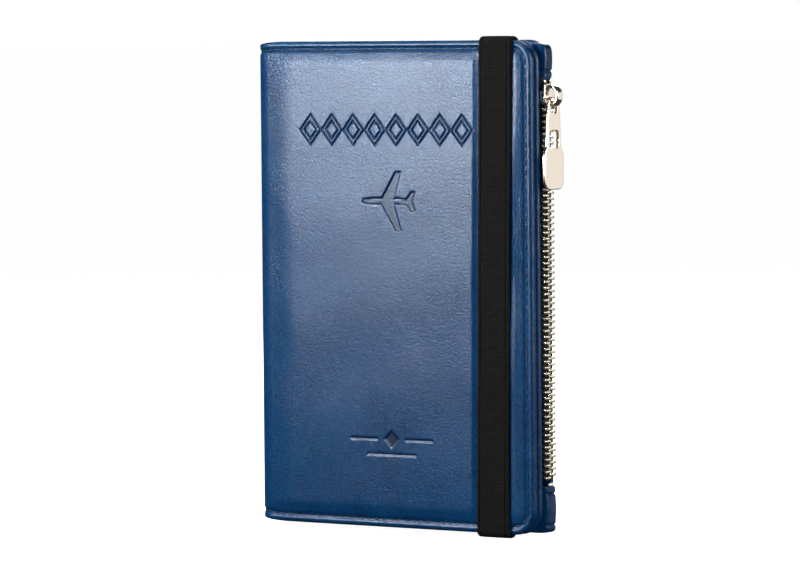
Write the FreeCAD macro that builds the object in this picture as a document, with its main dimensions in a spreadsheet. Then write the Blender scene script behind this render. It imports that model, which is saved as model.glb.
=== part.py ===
import FreeCAD, Part
import math
import os
import Sketcher

# Travel wallet for a passport: two leather covers round a folded spine, a zipped pocket
# behind a card panel, and an elastic band that holds the wallet shut.
#
# Book coordinates, in millimetres, shared by every sketch: x runs from the spine to the fore
# edge, y from the front of the elastic to the back of the wallet, z up from the ground. Each
# sub-part is then placed so that the whole stands on the origin, centred over it.

DIMENSIONS = [
    ("cover_width", 102.0, "spine to fore edge"),
    ("cover_height", 145.0, "height of both covers"),
    ("closed_thick", 13.0, "front leather to back leather, closed"),
    ("corner_radius", 7.0, "corners at the fore edge"),
    ("leather", 1.0, "cover leather"),
    ("front_turn", 1.2, "depth of the front cover's turned edge behind its leather"),
    ("back_turn", 0.6, "depth of the back cover's turned edge before its leather"),
    ("turn_width", 5.0, "width of every turned edge"),
    ("foam", 0.6, "padding under the front leather"),
    ("board", 0.6, "stiffener boards"),
    ("lining", 0.3, "lining cloth"),
    ("sleeve", 0.4, "passport sleeve leather"),
    ("leaf_gap", 0.2, "air between the front cover and the card panel"),
    ("panel_thick", 2.0, "card panel at its turned edge"),
    ("panel_base", 0.5, "card panel leather behind the slots"),
    ("slot_leather", 0.4, "one card slot"),
    ("slot_step", 0.48, "one card slot in front of the next"),
    ("pocket_foam", 1.2, "padding inside the back cover"),
    ("seam", 1.0, "width of the gusset that closes three sides of the zipped pocket"),
    ("fit_gap", 0.15, "air between parts that move past each other"),
    ("spine_cut", 0.6, "angle in degrees between the spine and each cover"),
    ("strap_width", 11.2, "elastic width"),
    ("strap_thick", 1.0, "elastic thickness"),
    ("strap_offset", 82.3, "spine to the elastic's near edge, at the foot"),
    ("strap_lean", 2.0, "the elastic's top stands this much nearer the fore edge"),
    ("strap_tail", 4.6, "elastic behind the front cover's edge, down to its seam"),
    ("tail_thick", 0.9, "the elastic's sewn tail"),
    ("back_short", 1.5, "the back cover stops this far short of the front cover"),
    ("slot_drop", 24.0, "head down to the mouth of the first card slot"),
    ("slot_fall", 14.0, "each slot's mouth below the last one's"),
    ("thumb_radius", 11.0, "thumb notch in a slot's mouth"),
    ("thumb_lift", 4.0, "notch centre above the slot's mouth"),
    ("sleeve_start", 0.28, "share of the cover's width before the passport sleeve"),
    ("sleeve_notch", 14.0, "radius of the notch in the sleeve's mouth"),
    ("tight_gap", 0.1, "air round pieces that are laid into an edge"),
    ("chain_depth", 8.25, "front leather to the middle of the zipper"),
    ("tape_radius", 3.0, "outer radius of the half-round zipper tape"),
    ("tape_thick", 0.4, "zipper tape"),
    ("tape_wing", 5.0, "flat stretch of tape sewn in behind the fore edge"),
    ("tape_open", 0.75, "half the slot between the two tapes"),
    ("tooth_pitch", 1.8, "spacing of the teeth along one tape"),
    ("tooth_thick", 0.8, "one tooth, along the zipper"),
    ("tooth_reach", 2.1, "tooth from the zipper's middle back over its tape"),
    ("tooth_mesh", 0.2, "tooth past the zipper's middle, into the other row"),
    ("tooth_half", 0.6, "half a tooth's height over the tape"),
    ("tooth_splay", 0.75, "teeth pushed apart by the slider's post"),
    ("top_tab", 10.8, "height of the leather tab over the zipper"),
    ("foot_tab", 14.2, "height of the leather tab under the zipper"),
    ("tab_drop", 1.0, "the upper tab ends this far under the head of the covers"),
    ("foot_bulge", 0.8, "how far the lower tab stands out past the tape"),
    ("stop_height", 1.4, "metal stops at the ends of the chain"),
    ("slider_foot", 124.6, "slider's lower end above the cover's foot"),
    ("slider_height", 7.6, "slider, along the zipper"),
    ("slider_width", 6.6, "slider, across the zipper"),
    ("slider_plate", 0.7, "each of the slider's two plates"),
    ("bail_outer", 2.9, "outer radius of the pull's loop"),
    ("bail_inner", 1.9, "inner radius of the pull's loop"),
    ("bail_width", 2.0, "loop, across the zipper"),
    ("bail_stand", 0.65, "loop centre in front of the slider's plate"),
    ("pull_thick", 1.1, "pull tab metal"),
    ("pull_eye", 3.0, "radius of the pull tab's eye"),
    ("pull_eye_hole", 1.8, "radius of the hole in the eye"),
    ("pull_eye_drop", 3.3, "loop centre down to the eye's centre"),
    ("pull_neck", 7.4, "pull tab neck, at its widest"),
    ("pull_slot_width", 4.4, "window in the neck"),
    ("pull_slot_height", 5.0, "window in the neck"),
    ("pull_paddle_width", 9.8, "paddle at the pull tab's end"),
    ("pull_paddle_height", 11.4, "paddle at the pull tab's end"),
    ("pull_length", 27.4, "loop centre down to the paddle's end"),
]

doc = FreeCAD.newDocument("travel_wallet")
sheet = doc.addObject("Spreadsheet::Sheet", "Dims")
for row, (alias, number, meaning) in enumerate(DIMENSIONS, start=1):
    sheet.set("A%d" % row, meaning)
    sheet.set("B%d" % row, str(number))
    sheet.setAlias("B%d" % row, alias)
doc.recompute()


def value(expression):
    """The number that an expression over the sheet's aliases comes to."""
    result = sheet.evalExpression(expression)
    return float(getattr(result, "Value", result))


# Places that many sub-parts share, as expressions over the sheet.
FRONT = "(Dims.strap_thick + Dims.fit_gap)"
BACK = "(%s + Dims.closed_thick)" % FRONT
FOOT = "(Dims.strap_thick + Dims.fit_gap)"
HEAD = "(%s + Dims.cover_height)" % FOOT
FORE = "Dims.cover_width"
SPINE_RADIUS = "(Dims.closed_thick / 2)"
FRONT_INNER = "(%s + Dims.leather + Dims.front_turn)" % FRONT
SLEEVE_Y = "(%s + Dims.lining)" % FRONT_INNER
PANEL_FRONT = "(%s + Dims.sleeve + Dims.leaf_gap)" % SLEEVE_Y
PANEL_BACK = "(%s + Dims.panel_thick)" % PANEL_FRONT
BACK_INNER = "(%s - Dims.leather - Dims.back_turn)" % BACK
CHAIN_Y = "(%s + Dims.chain_depth)" % FRONT
TAPE_CENTRE = "(%s - Dims.tape_radius)" % FORE
POCKET_END = "(%s - Dims.tape_wing - 1)" % TAPE_CENTRE
STRAP_FOOT_X = "(Dims.strap_offset)"
STRAP_HEAD_X = "(Dims.strap_offset + Dims.strap_lean)"
SLIDER_FOOT = "(%s + Dims.slider_foot)" % FOOT
SLIDER_FACE = "(%s + Dims.tooth_half + 0.1 + Dims.slider_plate)" % FORE
BAIL_X = "(%s + Dims.bail_stand)" % SLIDER_FACE
BAIL_Z = "(%s + Dims.slider_height / 2 + 0.1)" % SLIDER_FOOT
WALLET_RIGHT = "(%s + Dims.bail_outer)" % BAIL_X
WALLET_BACK = "(%s + Dims.pull_paddle_width / 2)" % CHAIN_Y
BACK_FORE = "(%s - Dims.back_short)" % FORE
TAIL_FRONT = "(%s - Dims.tight_gap)" % PANEL_FRONT


def place(item):
    """Move a sub-part from book coordinates to the wallet's own frame."""
    item.setExpression("Placement.Base.x", "-%s / 2" % WALLET_RIGHT)
    item.setExpression("Placement.Base.y", "-%s / 2" % WALLET_BACK)
    return item


def new_body(label):
    """An empty PartDesign body that will be one sub-part."""
    body = doc.addObject("PartDesign::Body", label)
    body.Label = label
    return place(body)


def new_sketch(body, role, offset):
    """A sketch on one of the body's own planes, at `offset` along the plane's axis.

    XY_Plane looks along +z, YZ_Plane along +x. XZ_Plane faces -y, so its offset is negated
    to keep offsets in book coordinates.
    """
    sketch = body.newObject("Sketcher::SketchObject", body.Label + "_sketch")
    plane = [item for item in body.Origin.OriginFeatures if item.Role == role][0]
    sketch.AttachmentSupport = [(plane, "")]
    sketch.MapMode = "FlatFace"
    sign = "-" if role == "XZ_Plane" else ""
    sketch.setExpression("AttachmentOffset.Base.z", "%s(%s)" % (sign, offset))
    return sketch


def pin(sketch, geometry, point, across, up=None):
    """Hold one point of a sketch's geometry at an expression across and, if given, one up."""
    for kind, expression in (("DistanceX", across), ("DistanceY", up)):
        if expression is None:
            continue
        constraint = Sketcher.Constraint(kind, -1, 1, geometry, point, value(expression))
        index = sketch.addConstraint(constraint)
        sketch.setExpression("Constraints[%d]" % index, expression)


def set_radius(sketch, geometry, expression):
    """Hold a circle's or arc's radius at an expression."""
    constraint = Sketcher.Constraint("Radius", geometry, value(expression))
    index = sketch.addConstraint(constraint)
    sketch.setExpression("Constraints[%d]" % index, expression)


def polygon(sketch, corners):
    """A closed outline of straight edges through the corners, each pinned."""
    points = [FreeCAD.Vector(value(across), value(up), 0) for across, up in corners]
    first = sketch.GeometryCount
    count = len(points)
    for i in range(count):
        sketch.addGeometry(Part.LineSegment(points[i], points[(i + 1) % count]), False)
    for i in range(count):
        following = first + (i + 1) % count
        sketch.addConstraint(Sketcher.Constraint("Coincident", first + i, 2, following, 1))
        pin(sketch, first + i, 1, corners[i][0], corners[i][1])


def rectangle(sketch, left, right, low, high):
    """A closed rectangle between four expressions."""
    polygon(sketch, [(left, low), (right, low), (right, high), (left, high)])


def circle(sketch, across, up, radius):
    """A circle with its centre pinned."""
    centre = FreeCAD.Vector(value(across), value(up), 0)
    shape = Part.Circle(centre, FreeCAD.Vector(0, 0, 1), value(radius))
    index = sketch.addGeometry(shape, False)
    pin(sketch, index, 3, across, up)
    set_radius(sketch, index, radius)


def pad(body, sketch, length):
    """Raise a solid from a sketch, along its plane's axis (towards -y on XZ_Plane)."""
    feature = body.newObject("PartDesign::Pad", body.Label + "_pad")
    feature.Profile = sketch
    feature.setExpression("Length", length)
    body.Tip = feature
    doc.recompute()
    return feature


def pocket(body, sketch, length):
    """Cut a sketch away, against its plane's axis (towards +y on XZ_Plane)."""
    before = body.Shape.Volume
    feature = body.newObject("PartDesign::Pocket", body.Label + "_pocket")
    feature.Profile = sketch
    feature.setExpression("Length", length)
    body.Tip = feature
    doc.recompute()
    if body.Shape.Volume >= before:
        raise RuntimeError(body.Label + ": a pocket cut nothing")
    return feature


def round_edges(body, edge_test, radius):
    """Fillet the edges of a body's solid that pass a test on their two end points."""
    names = []
    solid = body.Tip
    for number, edge in enumerate(solid.Shape.Edges, start=1):
        ends = [vertex.Point for vertex in edge.Vertexes]
        if len(ends) == 2 and edge_test(ends[0], ends[1]):
            names.append("Edge%d" % number)
    if not names:
        raise RuntimeError(body.Label + ": no edges to round")
    fillet = body.newObject("PartDesign::Fillet", body.Label + "_fillet")
    fillet.Base = (solid, names)
    fillet.setExpression("Radius", radius)
    body.Tip = fillet
    doc.recompute()
    return fillet


def at_fore_corner(edge_x):
    """A test for edges along y at the upright side x = edge_x."""
    def test(a, b):
        along_y = abs(a.x - b.x) < 1e-6 and abs(a.z - b.z) < 1e-6
        return along_y and abs(a.x - edge_x) < 1e-6
    return test


def plate(label, left, right, low, high, front, back, rounded=None):
    """A flat piece between six expressions, its fore-edge corners rounded if a radius is given."""
    body = new_body(label)
    sketch = new_sketch(body, "XZ_Plane", back)
    rectangle(sketch, left, right, low, high)
    pad(body, sketch, "%s - %s" % (back, front))
    if rounded:
        round_edges(body, at_fore_corner(value(right)), rounded)
    return body


def spine_sector(body, outer, inner, start, end):
    """Pad a slice of the spine's half ring, between two radii and two angles in degrees."""
    sketch = new_sketch(body, "XY_Plane", FOOT)
    centre_x = value(SPINE_RADIUS)
    centre_y = value(FRONT) + value(SPINE_RADIUS)
    centre = FreeCAD.Vector(centre_x, centre_y, 0)
    rays = []
    for angle in (start, end):
        turn = math.radians(value(angle))
        rays.append(FreeCAD.Vector(math.cos(turn), math.sin(turn), 0))
    radii = [value(outer), value(inner)]
    for radius in radii:
        ring = Part.Circle(centre, FreeCAD.Vector(0, 0, 1), radius)
        arc = Part.ArcOfCircle(ring, math.radians(value(start)), math.radians(value(end)))
        sketch.addGeometry(arc, False)
    for ray in rays:
        line = Part.LineSegment(centre + ray * radii[0], centre + ray * radii[1])
        sketch.addGeometry(line, False)
    joints = [(0, 1, 2, 1), (0, 2, 3, 1), (1, 1, 2, 2), (1, 2, 3, 2)]
    for first, first_end, second, second_end in joints:
        constraint = Sketcher.Constraint("Coincident", first, first_end, second, second_end)
        sketch.addConstraint(constraint)
    pin(sketch, 0, 3, SPINE_RADIUS, "%s + %s" % (FRONT, SPINE_RADIUS))
    sketch.addConstraint(Sketcher.Constraint("Coincident", 0, 3, 1, 3))
    set_radius(sketch, 0, outer)
    set_radius(sketch, 1, inner)
    for line, angle in ((2, start), (3, end)):
        sketch.addConstraint(Sketcher.Constraint("PointOnObject", 0, 3, line))
    return pad(body, sketch, "Dims.cover_height")


def cover_leather(label, fore, front, back, recess_front, recess_back, start, end):
    """One cover's leather: its panel, turned edge and its eighth of the spine's round."""
    body = plate(label, SPINE_RADIUS, fore, FOOT, HEAD, front, back, "Dims.corner_radius")
    recess = new_sketch(body, "XZ_Plane", recess_front)
    left = "%s - 1" % SPINE_RADIUS
    right = "%s - Dims.turn_width" % fore
    low = "%s + Dims.turn_width" % FOOT
    high = "%s - Dims.turn_width" % HEAD
    rectangle(recess, left, right, low, high)
    pocket(body, recess, "%s - %s" % (recess_back, recess_front))
    spine_sector(body, SPINE_RADIUS, "%s - Dims.leather" % SPINE_RADIUS, start, end)
    return body


def front_cover():
    """The front cover, from its leather in to the sleeve that holds the passport."""
    face = "(%s + Dims.leather)" % FRONT
    cover_leather("front_cover_leather", FORE, FRONT, FRONT_INNER, face, FRONT_INNER, "225", "270")
    left = "%s + Dims.tight_gap" % SPINE_RADIUS
    right = "%s - Dims.turn_width - Dims.tight_gap" % FORE
    low = "%s + Dims.turn_width + Dims.tight_gap" % FOOT
    high = "%s - Dims.turn_width - Dims.tight_gap" % HEAD
    foam_back = "(%s + Dims.foam)" % face
    plate("front_cover_foam", left, right, low, high, face, foam_back)
    plate("front_cover_board", left, right, low, high, foam_back, FRONT_INNER)
    rim = "Dims.turn_width / 2"
    lining = [SPINE_RADIUS, "%s - %s" % (FORE, rim), "%s + %s" % (FOOT, rim), "%s - %s" % (HEAD, rim)]
    plate("front_cover_lining", *lining, FRONT_INNER, SLEEVE_Y, "Dims.corner_radius - %s" % rim)
    sleeve_front = SLEEVE_Y
    sleeve_back = "(%s + Dims.sleeve)" % SLEEVE_Y
    sleeve_left = "%s + Dims.cover_width * Dims.sleeve_start" % SPINE_RADIUS
    sleeve = plate("passport_sleeve", sleeve_left, *lining[1:], sleeve_front, sleeve_back,
                   "Dims.corner_radius - %s" % rim)
    notch = new_sketch(sleeve, "XZ_Plane", sleeve_front)
    circle(notch, sleeve_left, "%s + Dims.cover_height / 2" % FOOT,
           "Dims.sleeve_notch")
    pocket(sleeve, notch, "Dims.sleeve")


def spine():
    """The folded spine between the covers: a quarter ring of leather and its lining."""
    start = "135 + Dims.spine_cut"
    end = "225 - Dims.spine_cut"
    leather = new_body("spine_leather")
    inner = "%s - Dims.leather" % SPINE_RADIUS
    spine_sector(leather, SPINE_RADIUS, inner, start, end)
    lining = new_body("spine_lining")
    spine_sector(lining, inner, "%s - Dims.lining" % inner, start, end)


def back_cover():
    """The back cover and the lining of the zipped pocket against it."""
    face = "(%s - Dims.leather)" % BACK
    cover_leather("back_cover_leather", BACK_FORE, BACK_INNER, BACK, BACK_INNER, face, "90", "135")
    left = "%s + Dims.spine_cut" % SPINE_RADIUS
    right = "%s - Dims.turn_width - Dims.tight_gap" % BACK_FORE
    low = "%s + Dims.turn_width + Dims.tight_gap" % FOOT
    high = "%s - Dims.turn_width - Dims.tight_gap" % HEAD
    plate("back_cover_board", left, right, low, high, BACK_INNER, face)
    inset = "(2 * Dims.seam)"
    left = "%s + 2 + %s" % (SPINE_RADIUS, inset)
    low = "%s + %s" % (FOOT, inset)
    high = "%s - %s" % (HEAD, inset)
    foam_front = "(%s - Dims.pocket_foam)" % BACK_INNER
    plate("back_cover_foam", left, POCKET_END, low, high, foam_front, BACK_INNER)
    lining_front = "(%s - Dims.lining)" % foam_front
    plate("pocket_lining_back", left, POCKET_END, low, high, lining_front, foam_front)
    board_back = "(%s + Dims.board)" % PANEL_BACK
    plate("card_panel_board", left, POCKET_END, low, high, PANEL_BACK, board_back)
    lining_back = "(%s + Dims.lining)" % board_back
    plate("pocket_lining_front", left, POCKET_END, low, high, board_back, lining_back)


def pocket_gusset():
    """The cloth strip that closes the zipped pocket at its head, foot and spine side."""
    body = new_body("pocket_gusset")
    sketch = new_sketch(body, "XZ_Plane", BACK_INNER)
    outer_left = "%s + 2" % SPINE_RADIUS
    outer_low = "%s + Dims.seam / 2" % FOOT
    outer_high = "%s - Dims.seam / 2" % HEAD
    inner_left = "%s + Dims.seam" % outer_left
    inner_low = "%s + Dims.seam" % outer_low
    inner_high = "%s - Dims.seam" % outer_high
    polygon(sketch, [
        (outer_left, outer_low), (POCKET_END, outer_low), (POCKET_END, inner_low),
        (inner_left, inner_low), (inner_left, inner_high), (POCKET_END, inner_high),
        (POCKET_END, outer_high), (outer_left, outer_high)])
    pad(body, sketch, "%s - %s" % (BACK_INNER, PANEL_BACK))


def card_panel():
    """The panel in front of the zipped pocket: a tray of leather with three card slots."""
    left = "%s + 1.5" % SPINE_RADIUS
    leather = plate("card_panel_leather", left, FORE, FOOT, HEAD, PANEL_FRONT, PANEL_BACK,
                    "Dims.corner_radius")
    tray_left = "(%s + Dims.turn_width)" % left
    tray_right = "(%s - Dims.turn_width)" % FORE
    tray_low = "(%s + Dims.turn_width)" % FOOT
    tray_high = "(%s - Dims.turn_width)" % HEAD
    tray = new_sketch(leather, "XZ_Plane", PANEL_FRONT)
    rectangle(tray, tray_left, tray_right, tray_low, tray_high)
    pocket(leather, tray, "Dims.panel_thick - Dims.panel_base")
    tray_back = "(%s - Dims.panel_base)" % PANEL_BACK
    for label, left, sign, edge in (("head", STRAP_HEAD_X, "-", HEAD), ("foot", STRAP_FOOT_X, "+", FOOT)):
        notch = new_sketch(leather, "XZ_Plane", PANEL_FRONT)
        notch_left = "%s - Dims.fit_gap" % left
        notch_right = "%s + Dims.strap_width + Dims.fit_gap" % left
        sewn = "(%s %s (Dims.strap_tail + Dims.fit_gap))" % (edge, sign)
        low, high = (sewn, HEAD) if label == "head" else (FOOT, sewn)
        rectangle(notch, notch_left, notch_right, low, high)
        pocket(leather, notch, "Dims.tail_thick")
    for order, label in enumerate(("card_slot_upper", "card_slot_middle", "card_slot_lower")):
        drop = "(Dims.slot_drop + %d * Dims.slot_fall)" % order
        slot_back = "(%s - %d * Dims.slot_step)" % (tray_back, order)
        slot_front = "(%s - Dims.slot_leather)" % slot_back
        mouth = "(%s - %s)" % (HEAD, drop)
        slot = plate(label, "%s + Dims.tight_gap" % tray_left, "%s - Dims.tight_gap" % tray_right,
                     "%s + Dims.tight_gap" % tray_low, mouth, slot_front, slot_back)
        notch = new_sketch(slot, "XZ_Plane", slot_front)
        middle = "(%s + %s) / 2" % (tray_left, tray_right)
        circle(notch, middle, "%s + Dims.thumb_lift" % mouth, "Dims.thumb_radius")
        pocket(slot, notch, "Dims.slot_leather")


def end_tab(label, low, high, centre_x):
    """A leather tab folded round one end of the zipper: a block with a half-round nose."""
    body = new_body(label)
    sketch = new_sketch(body, "XY_Plane", low)
    radius = "((%s - %s) / 2 - Dims.fit_gap / 2)" % (BACK_INNER, PANEL_BACK)
    middle = "((%s + %s) / 2)" % (BACK_INNER, PANEL_BACK)
    near = "(%s - %s)" % (middle, radius)
    far = "(%s + %s)" % (middle, radius)
    points = [(POCKET_END + " + 0.1", near), (centre_x, near), (centre_x, far),
              (POCKET_END + " + 0.1", far)]
    corner = [FreeCAD.Vector(value(across), value(up), 0) for across, up in points]
    centre = FreeCAD.Vector(value(centre_x), value(middle), 0)
    ring = Part.Circle(centre, FreeCAD.Vector(0, 0, 1), value(radius))
    sketch.addGeometry(Part.LineSegment(corner[0], corner[1]), False)
    sketch.addGeometry(Part.ArcOfCircle(ring, -math.pi / 2, math.pi / 2), False)
    sketch.addGeometry(Part.LineSegment(corner[2], corner[3]), False)
    sketch.addGeometry(Part.LineSegment(corner[3], corner[0]), False)
    for first, second in ((0, 1), (1, 2), (2, 3), (3, 0)):
        sketch.addConstraint(Sketcher.Constraint("Coincident", first, 2, second, 1))
    pin(sketch, 0, 1, *points[0])
    pin(sketch, 0, 2, *points[1])
    pin(sketch, 2, 1, *points[2])
    pin(sketch, 3, 1, *points[3])
    pin(sketch, 1, 3, centre_x)
    pad(body, sketch, "%s - %s" % (high, low))


TOP_TAB_LOW = "(%s - Dims.top_tab)" % HEAD
FOOT_TAB_HIGH = "(%s + Dims.foot_tab)" % FOOT
STOP_HIGH = "(%s + 0.2 + Dims.stop_height)" % FOOT_TAB_HIGH


def zipper_ends():
    """The two leather tabs and the metal stop that joins the tapes at the foot."""
    end_tab("zipper_end_tab_top", TOP_TAB_LOW, "(%s - Dims.tab_drop)" % HEAD, TAPE_CENTRE)
    end_tab("zipper_end_tab_bottom", "(%s + 0.3)" % FOOT, FOOT_TAB_HIGH,
            "(%s + Dims.foot_bulge)" % TAPE_CENTRE)
    plate("zipper_bottom_stop", "%s - Dims.tooth_half" % FORE, "%s + Dims.tooth_half" % FORE,
          "(%s + 0.1)" % FOOT_TAB_HIGH, "(%s - 0.1)" % STOP_HIGH,
          "(%s - 1.2)" % CHAIN_Y, "(%s + 1.2)" % CHAIN_Y)


def zipper_tape(label, side):
    """One woven tape: a flat wing sewn in behind the fore edge, then a quarter round.

    side is -1 for the tape at the card panel and +1 for the tape at the back cover.
    """
    low = value(STOP_HIGH)
    height = value(TOP_TAB_LOW) - 0.1 - low
    centre = FreeCAD.Vector(value(TAPE_CENTRE), value(CHAIN_Y), low)
    outer = value("Dims.tape_radius")
    inner = outer - value("Dims.tape_thick")
    wing = FreeCAD.Vector(-value("Dims.tape_wing"), 0, 0)
    reach = math.asin(value("Dims.tape_open") / outer)
    edges = []
    ends = []
    for radius in (outer, inner):
        root = centre + FreeCAD.Vector(0, side * radius, 0)
        angles = [side * math.pi / 2, side * (math.pi / 2 + reach) / 2, side * reach]
        on_arc = [centre + FreeCAD.Vector(math.cos(a), math.sin(a), 0) * radius for a in angles]
        edges.append(Part.makeLine(root + wing, root))
        edges.append(Part.Arc(*on_arc).toShape())
        ends.append((root + wing, on_arc[2]))
    for k in (0, 1):
        edges.append(Part.makeLine(ends[0][k], ends[1][k]))
    outline = Part.Wire(Part.__sortEdges__(edges))
    tape = doc.addObject("Part::Feature", label)
    tape.Label = label
    tape.Shape = Part.Face(outline).extrude(FreeCAD.Vector(0, 0, height))
    place(tape)


def zipper_teeth(label, side, shift):
    """One row of teeth. Near the slider's post the teeth stand apart; below it they mesh."""
    pitch = value("Dims.tooth_pitch")
    thick = value("Dims.tooth_thick")
    half = value("Dims.tooth_half")
    reach = value("Dims.tooth_reach")
    mesh = value("Dims.tooth_mesh")
    post_foot = value(SLIDER_FOOT) + value("Dims.slider_height") / 2
    first = value(STOP_HIGH) + 0.3 + shift * pitch
    last = value(TOP_TAB_LOW) - 4.0
    teeth = []
    for i in range(int((last - first) / pitch)):
        foot = first + i * pitch
        nearness = (foot + thick - (post_foot - 3.0)) / 3.0
        splay = value("Dims.tooth_splay") * min(max(nearness, 0.0), 1.0)
        inner_end = mesh - splay
        outer_end = -reach - splay
        near = min(side * -inner_end, side * -outer_end)
        corner = FreeCAD.Vector(value(FORE) - half, value(CHAIN_Y) + near, foot)
        teeth.append(Part.makeBox(2 * half, reach + mesh, thick, corner))
    row = doc.addObject("Part::Feature", label)
    row.Label = label
    row.Shape = Part.makeCompound(teeth)
    place(row)


def zipper_top_stop(label, side):
    """The metal stop clamped on one tape above the chain."""
    near = "(%s + %s)" % (CHAIN_Y, "0.9" if side > 0 else "(0 - 2.1)")
    plate(label, "%s - Dims.tooth_half" % FORE, "%s + Dims.tooth_half" % FORE,
          "(%s - 0.2 - Dims.stop_height)" % TOP_TAB_LOW, "(%s - 0.2)" % TOP_TAB_LOW,
          near, "(%s + 1.2)" % near)


def slider():
    """The slider: two plates joined by a post at the head, with a rail along each side."""
    body = new_body("slider_body")
    half = "(Dims.slider_width / 2)"
    near = "(%s - %s)" % (CHAIN_Y, half)
    far = "(%s + %s)" % (CHAIN_Y, half)
    head = "(%s + Dims.slider_height)" % SLIDER_FOOT
    shoulder = "(%s - Dims.slider_height * 0.35)" % head
    plate_outer = "(%s - Dims.slider_plate)" % SLIDER_FACE
    shield = new_sketch(body, "YZ_Plane", plate_outer)
    polygon(shield, [
        ("%s + 0.8" % near, SLIDER_FOOT), ("%s - 0.8" % far, SLIDER_FOOT), (far, shoulder),
        ("%s - 0.5" % far, head), ("%s + 0.5" % near, head), (near, shoulder)])
    pad(body, shield, "Dims.slider_plate")
    post_depth = "(Dims.slider_plate + 2 * Dims.tooth_half + 1.6)"
    post = new_sketch(body, "YZ_Plane", "%s - %s" % (SLIDER_FACE, post_depth))
    rectangle(post, "%s - 0.4" % CHAIN_Y, "%s + 0.4" % CHAIN_Y,
              "%s + Dims.slider_height / 2 + 0.4" % SLIDER_FOOT, "%s - 0.3" % head)
    pad(body, post, post_depth)
    inner = new_sketch(body, "YZ_Plane", "%s - %s" % (SLIDER_FACE, post_depth))
    rectangle(inner, "%s - 1.8" % CHAIN_Y, "%s + 1.8" % CHAIN_Y,
              "%s + 0.3" % SLIDER_FOOT, "%s - 0.3" % head)
    pad(body, inner, "Dims.slider_plate")
    for rail_near in (near, "(%s - 0.3)" % far):
        rail = new_sketch(body, "YZ_Plane", "%s + 0.05" % FORE)
        rectangle(rail, rail_near, "%s + 0.3" % rail_near, "%s - 0.5" % shoulder,
                  "%s + 0.5" % shoulder)
        pad(body, rail, "%s + 0.05 - %s - 0.05" % (plate_outer, FORE))


def slider_bail():
    """The half loop on the slider's face that the pull tab hangs from and swings about."""
    body = new_body("slider_bail")
    sketch = new_sketch(body, "XZ_Plane", "%s + Dims.bail_width / 2" % CHAIN_Y)
    centre = FreeCAD.Vector(value(BAIL_X), value(BAIL_Z), 0)
    tips = []
    for radius in ("Dims.bail_outer", "Dims.bail_inner"):
        ring = Part.Circle(centre, FreeCAD.Vector(0, 0, 1), value(radius))
        arc = sketch.addGeometry(Part.ArcOfCircle(ring, -math.pi / 2, math.pi / 2), False)
        low = "(%s - %s)" % (BAIL_Z, radius)
        high = "(%s + %s)" % (BAIL_Z, radius)
        pin(sketch, arc, 1, BAIL_X, low)
        pin(sketch, arc, 2, BAIL_X, high)
        pin(sketch, arc, 3, BAIL_X)
        tips.append((arc, low, high))
    for end, level in ((1, 1), (2, 2)):
        outer_z = tips[0][level]
        inner_z = tips[1][level]
        start = len(sketch.Geometry)
        corners = [(BAIL_X, outer_z), (SLIDER_FACE, outer_z), (SLIDER_FACE, inner_z),
                   (BAIL_X, inner_z)]
        points = [FreeCAD.Vector(value(across), value(up), 0) for across, up in corners]
        for k in range(3):
            sketch.addGeometry(Part.LineSegment(points[k], points[k + 1]), False)
        sketch.addConstraint(Sketcher.Constraint("Coincident", tips[0][0], end, start, 1))
        sketch.addConstraint(Sketcher.Constraint("Coincident", start, 2, start + 1, 1))
        sketch.addConstraint(Sketcher.Constraint("Coincident", start + 1, 2, start + 2, 1))
        sketch.addConstraint(Sketcher.Constraint("Coincident", start + 2, 2, tips[1][0], end))
        pin(sketch, start + 1, 1, *corners[1])
        pin(sketch, start + 1, 2, *corners[2])
    pad(body, sketch, "Dims.bail_width")


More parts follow.
